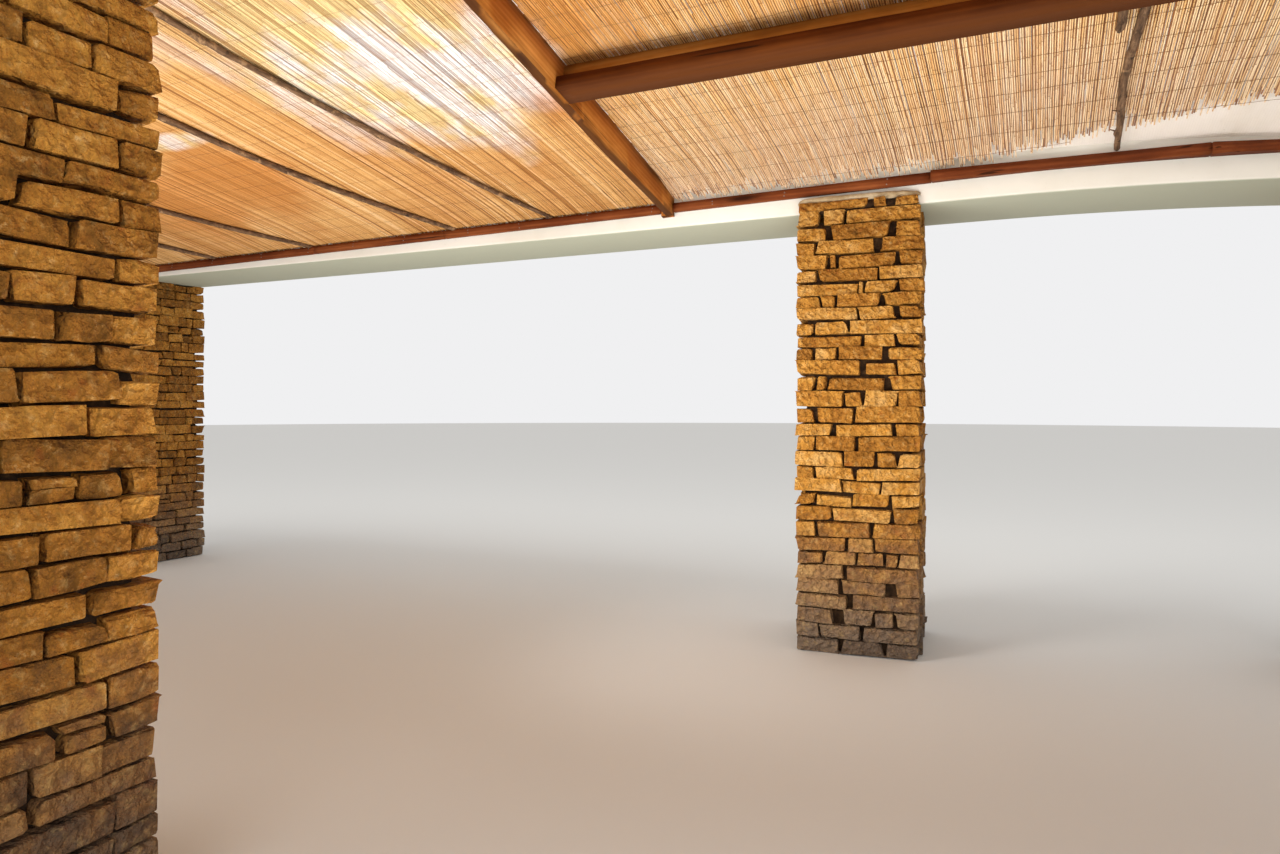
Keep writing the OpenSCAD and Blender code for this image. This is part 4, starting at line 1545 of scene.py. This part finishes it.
@dataclass
class ReedMat:
    """A mat of reeds laid up the slope, edge to edge.

    Every other reed lies in the face that shows, the rest behind it, coloured dark as painted
    shade between the reeds that show.
    """

    node: str
    bay: Bay
    start: float
    end: float
    seed: int
    ragged: float
    beside_rafter: bool = False
    pitch: float = 0.0047
    spread: Range = (0.82, 1.18)
    stagger: float = 0.028
    two_part_share: float = 0.45
    sway: float = 0.0011
    slant: float = 0.0028
    girth: Range = (0.0034, 0.0044)
    back_girth: Range = (0.0038, 0.0048)
    thick: float = 0.0136
    shortest: float = 0.05
    face_tone: Range = (0.56, 0.2)
    back_painted_shade_tone: float = 0.05
    short_share: float = 0.0
    shortened: Range = (0.03, 0.11)
    tip: float = 1.08
    butt: float = 0.86

    def limits(self, x: float) -> Range:
        """The lowest and the highest run that a reed at a place along X can have."""
        runs = np.linspace(-0.04, ROOF.mat_end, 160)
        if self.beside_rafter:
            side = np.array([ROOF.rafter_side(run, self.bay, REED_GAP) for run in runs])
            runs = runs[(x - side) * self.bay.side >= 0]
        if not len(runs):
            return 0.0, 0.0
        return max(runs.min(), ROOF.foot(x)), runs.max()

    def build(self, group: Tree, palette: Palette) -> None:
        """Lays the reeds and fits the mat."""
        draw = random.Random(self.seed)
        reeds = Strands()
        x, number = self.start + 0.004, 0
        while x < self.end - 0.003:
            low, high = self.limits(x)
            low += (number % 2) * self.stagger + draw.uniform(0, 1) ** 2 * self.ragged
            high -= draw.uniform(0, self.ragged)
            if self.short_share and draw.random() < self.short_share:
                low += draw.uniform(*self.shortened)
            if high - low > self.shortest:
                self.lay_reed(reeds, draw, x, low, high, number % 2 == 0)
            number += 1
            x += self.pitch * draw.uniform(*self.spread)
        reeds.build(self.node.replace("mat", "reeds"), group, 5, palette.reed, "reed",
                    [self.node])

    def lay_reed(self, reeds: Strands, draw: random.Random, x: float, low: float, high: float,
                 under: bool) -> None:
        """Lays one reed, or two end to end.

        Args:
            reeds: the mat's reeds.
            draw: the mat's random draws.
            x: its place along X.
            low, high: run to its lower and to its upper end.
            under: whether it lies in the face that shows.
        """
        cuts = [low, high]
        if draw.random() < self.two_part_share:
            cuts.insert(1, draw.uniform(low + 0.3 * (high - low), high - 0.2 * (high - low)))
        for start, end in zip(cuts, cuts[1:]):
            length = end - start
            if length < self.shortest:
                continue
            thick = draw.uniform(*(self.girth if under else self.back_girth))
            level = thick + 0.0012 if under else self.thick - thick - draw.uniform(0, 0.001)
            near = [0.0, *(r for r in (0.1, 0.22, 0.36, 0.5) if r < length - 0.1)]
            steps = max(2, round((length - near[-1]) / 0.5) + 1)
            run = start + np.concatenate([near[:-1] or near, np.linspace(
                near[-1] or 0.1, length - 0.003, steps)])
            s = (run - start) / length
            sway = np.array([draw.gauss(0, self.sway) for _ in s])
            tilt = draw.gauss(0, self.slant)
            lie = level + np.array([draw.uniform(0, 0.0008) for _ in s])
            line = ROOF.place(x + sway + tilt * (s - 0.5), run,
                              lie - ROOF.sag(x, run, self.bay), self.bay)
            offset = draw.uniform(0, 1)
            # painted shade: the reeds behind take a dark tone, standing for the shade between the
            # reeds in front
            tone = (max(draw.gauss(*self.face_tone), 0.2) if under
                    else draw.gauss(self.back_painted_shade_tone, 0.07))
            reeds.add(line, girth=thick * (self.tip + (self.butt - self.tip) * s),
                      shade=min(max(tone, 0.0), 1.0), along=offset + length * s)


class ReedCeiling:
    """Seven reed mats, and the rows of twine that stitch them."""

    left_edge = -6.209
    mat_count = 5
    joint_x = 0.45
    right_edge = 2.549
    first_row = 0.06
    row_spacing = (0.12, 0.18)
    weave = 0.052
    edge_gap = 0.004
    right_look = dict(face_tone=(0.8, 0.14), back_painted_shade_tone=0.14, short_share=0.4, tip=0.74,
                      back_girth=(0.0042, 0.0053))

    def build(self, palette: Palette) -> None:
        """Builds the mats and the twine."""
        width = LEFT_BAY / self.mat_count
        edges = [ROOF.rafter_side(ROOF.mat_end, Bay.LEFT, REED_GAP),
                 *(ROOF.pivot_x - width * i for i in range(1, self.mat_count)), self.left_edge]
        mats = [ReedMat(f"mat_{i}", Bay.LEFT, edges[i], edges[i - 1], 50 + i, 0.03, i == 1)
                for i in range(1, self.mat_count + 1)]
        mats += [ReedMat("mat_6", Bay.RIGHT, ROOF.rafter_side(0.0, Bay.RIGHT, REED_GAP),
                         self.joint_x, 60, 0.034, True, **self.right_look),
                 ReedMat("mat_7", Bay.RIGHT, self.joint_x, self.right_edge, 61, 0.075,
                         **self.right_look)]
        group = strand_group("reed_strand")
        for mat in mats:
            mat.build(group, palette)
        for bay, seed, girth in ((Bay.LEFT, 70, 0.0006), (Bay.RIGHT, 71, 0.001)):
            self.stitch(bay, seed, girth, group, palette)

    def stitch(self, bay: Bay, seed: int, girth: float, group: Tree,
               palette: Palette) -> None:
        """Stitches a bay's reeds with rows of twine on their underside.

        Args:
            bay: the bay.
            seed: the seed of its random draws.
            girth: the twine's radius.
            group: the strands' Geometry Nodes.
            palette: the finishes.
        """
        draw = random.Random(seed)
        rows = Strands()
        run = self.first_row
        while run < ROOF.mat_end - 0.03:
            start, end = self.left_edge + self.edge_gap, ROOF.rafter_side(run, bay, TWINE_GAP)
            if bay is Bay.RIGHT:
                past_foot = (run - ROOF.lap - 0.02) / (ROOF.drift * ROOF.plumb) + ROOF.drift_x
                start, end = end, min(self.right_edge - self.edge_gap, past_foot)
            if end - start > 0.1:
                x = np.linspace(start, end, max(4, round((end - start) / 0.022)))
                phase = draw.uniform(0, 6)
                wander = np.array([0.022 * ripple(v * 0.8, run * 5, phase)
                                   + 0.009 * ripple(v * 4.5, run * 9)
                                   + 0.003 * ripple(v * 24, run * 9) for v in x])
                dip = 0.0005 + 0.0006 * np.sin(x * FULL_TURN / self.weave + phase)
                rows.add(ROOF.place(x, run + wander, dip - ROOF.sag(x, run, bay), bay),
                         girth=girth)
            run += draw.uniform(*self.row_spacing)
        rows.build(f"twine_{bay.name.lower()}", group, 3, palette.twine, "reed")


# ----------------------------------------------------------------- roof sheets


class Roofing:
    """Opal sheets, the covering bars on their joints, and the bars' screws."""

    sheet_t = 0.010
    half_flute = 0.0225
    length_step = 0.4
    rib = 0.0012
    bars = ((Bay.LEFT, -4.8294), (Bay.LEFT, -3.0188), (Bay.RIGHT, 0.982))
    half_section = ((0.030, 0.0), (0.030, 0.0022), (0.021, 0.0034), (0.012, 0.0064),
                    (0.005, 0.0078))

    def build(self, palette: Palette) -> None:
        """Builds the roof's top."""
        for i in range(1, 6):
            self.build_sheet(i, palette)
        self.build_bars(palette)

    def build_sheet(self, number: int, palette: Palette) -> None:
        """Cuts a sheet's solid into flutes, shapes them and fits the sheet."""
        node = f"sheet_{number}"
        solid = CutSolid(node, flat=0.5)
        low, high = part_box(node)
        for axis, step in ((0, self.half_flute), (1, self.length_step)):
            solid.cut(axis, low[axis], high[axis], step)
        for v in solid.work.verts:
            if v.normal.z > 0.7 and round((v.co.x - low[0]) / self.half_flute) % 2:
                v.co.z -= self.rib
        fit_piece(solid.close(f"opal_{node}"), [node], palette.opal)

    def build_bars(self, palette: Palette) -> None:
        """Builds the ridged covering bars, and screws them down."""
        left = [(-x, z) for x, z in reversed(self.half_section)]
        across, up = np.array([left[-1], *self.half_section, *left[:-1]]).T
        level = ROOF.mat_t + self.sheet_t
        bars, heads = [], []
        for bay, x in self.bars:
            bars.append(sweep([ROOF.place(x + across, run, level + up, bay)
                               for run in np.linspace(0.002, ROOF.roof_run - 0.001, 24)]))
            heads += [ROOF.place(x, run, level + 0.0070, bay)
                      for run in np.arange(0.12, ROOF.roof_run, 0.3)]
        fit_solid("covering_bars", join_parts(bars), ["sheet_bars"], palette.aluminium,
                  smooth=False)
        set_heads("bar_screws", heads, -ROOF.pitch, 0.006, 0.003, palette.screw)


# --------------------------------------------------------------------- studio


def place_object(name: str, data: bpy.types.ID, place: Sequence[float],
                 look: Vector) -> Piece:
    """Puts a camera or a lamp in the scene, looking along a direction."""
    obj = bpy.data.objects.new(name, data)
    bpy.context.scene.collection.objects.link(obj)
    obj.location = place
    obj.rotation_euler = look.to_track_quat("-Z", "Y").to_euler()
    return obj


class Studio:
    """Camera, plain floor, plain background and soft lamps."""

    eye = (0.901, -4.969, 1.35)
    look = Vector((-0.4226, 0.9063, 0.0))
    focal_px = 850.0
    frame_px = 1280.0
    shift_px = -22.0
    sensor_mm = 36.0
    background = shade(240, 240, 241)
    floor = shade(218, 216, 212)
    sky_strength = 0.82
    floor_middle = (-1.5, -1.0)
    floor_radius = 60.0
    floor_drop = 0.0005
    lamps = (
        ("sky_softbox", (-2.0, -5.0, 9.0), (-2.0, -1.5, 2.0), (8, 6), 430, 180),
        ("front_softbox", (3.8, -10.5, 3.0), (-0.5, 0.0, 1.5), (8, 4), 245, 180),
        ("raking_softbox", (-2.5, -3.3, 1.8), (0.0, 0.0, 0.9), (1.2, 0.6), 12, 58),
        ("ceiling_bounce", (-1.3, -2.45, 0.3), (-1.3, -2.1, 3.0), (6, 1.7), 158, 180))

    def set_camera(self) -> None:
        """Sets the camera at the photograph's place."""
        data = bpy.data.cameras.new("photo_camera")
        data.sensor_width = self.sensor_mm
        data.lens = self.sensor_mm * self.focal_px / self.frame_px
        data.shift_y = self.shift_px / self.frame_px
        bpy.context.scene.camera = place_object("photo_camera", data, self.eye, self.look)

    def set_stage(self) -> None:
        """Lays the plain pale floor and sets the plain background.

        The background lights with white and shows its own colour to the camera.
        """
        scene = bpy.context.scene
        scene.view_settings.view_transform = "Standard"
        world = bpy.data.worlds.new("plain_background")
        world.use_nodes = True
        scene.world = world
        g = Graph(world.node_tree)
        rays = {s.name: Wire(g, s) for s in g.add("ShaderNodeLightPath").outputs}
        direct = g.math("MAXIMUM", rays["Is Camera Ray"], g.math(
            "MAXIMUM", rays["Is Glossy Ray"], rays["Is Transmission Ray"]))
        light = g.out("ShaderNodeBackground", (1, 1, 1, 1), self.sky_strength)
        shown = g.out("ShaderNodeBackground", self.background, 1.0)
        g.feed(g.tree.nodes["World Output"].inputs[0],
               g.out("ShaderNodeMixShader", direct, light, shown))
        x, y = self.floor_middle
        disc = [(x + self.floor_radius * math.cos(a), y + self.floor_radius * math.sin(a),
                 -self.floor_drop) for a in np.linspace(0, FULL_TURN, 65)[:-1]]
        floor = new_piece("plain_floor", disc, [tuple(range(64))], smooth=False)
        floor.data.materials.append(Paint("pale_floor", 0.9, Base_Color=self.floor).material)

    def light(self) -> None:
        """Sets the soft area lamps: name, place, aim, size, power and spread."""
        for name, place, aim, size, power, spread in self.lamps:
            data = bpy.data.lights.new(name, "AREA")
            data.shape = "RECTANGLE"
            data.size, data.size_y = size
            data.energy = power
            data.spread = math.radians(spread)
            lamp = place_object(name, data, place, Vector(aim) - Vector(place))
            lamp.visible_camera = lamp.visible_glossy = False


def main() -> None:
    """Builds the bay, trade by trade."""
    logging.basicConfig(level=logging.INFO, format="%(message)s")
    studio = Studio()
    studio.set_camera()
    palette = Palette()
    for trade in (Masonry(), Plastering(), Carpentry(), Poles(), ReedCeiling(), Roofing()):
        trade.build(palette)
    studio.set_stage()
    studio.light()


if __name__ == "__main__":
    main()
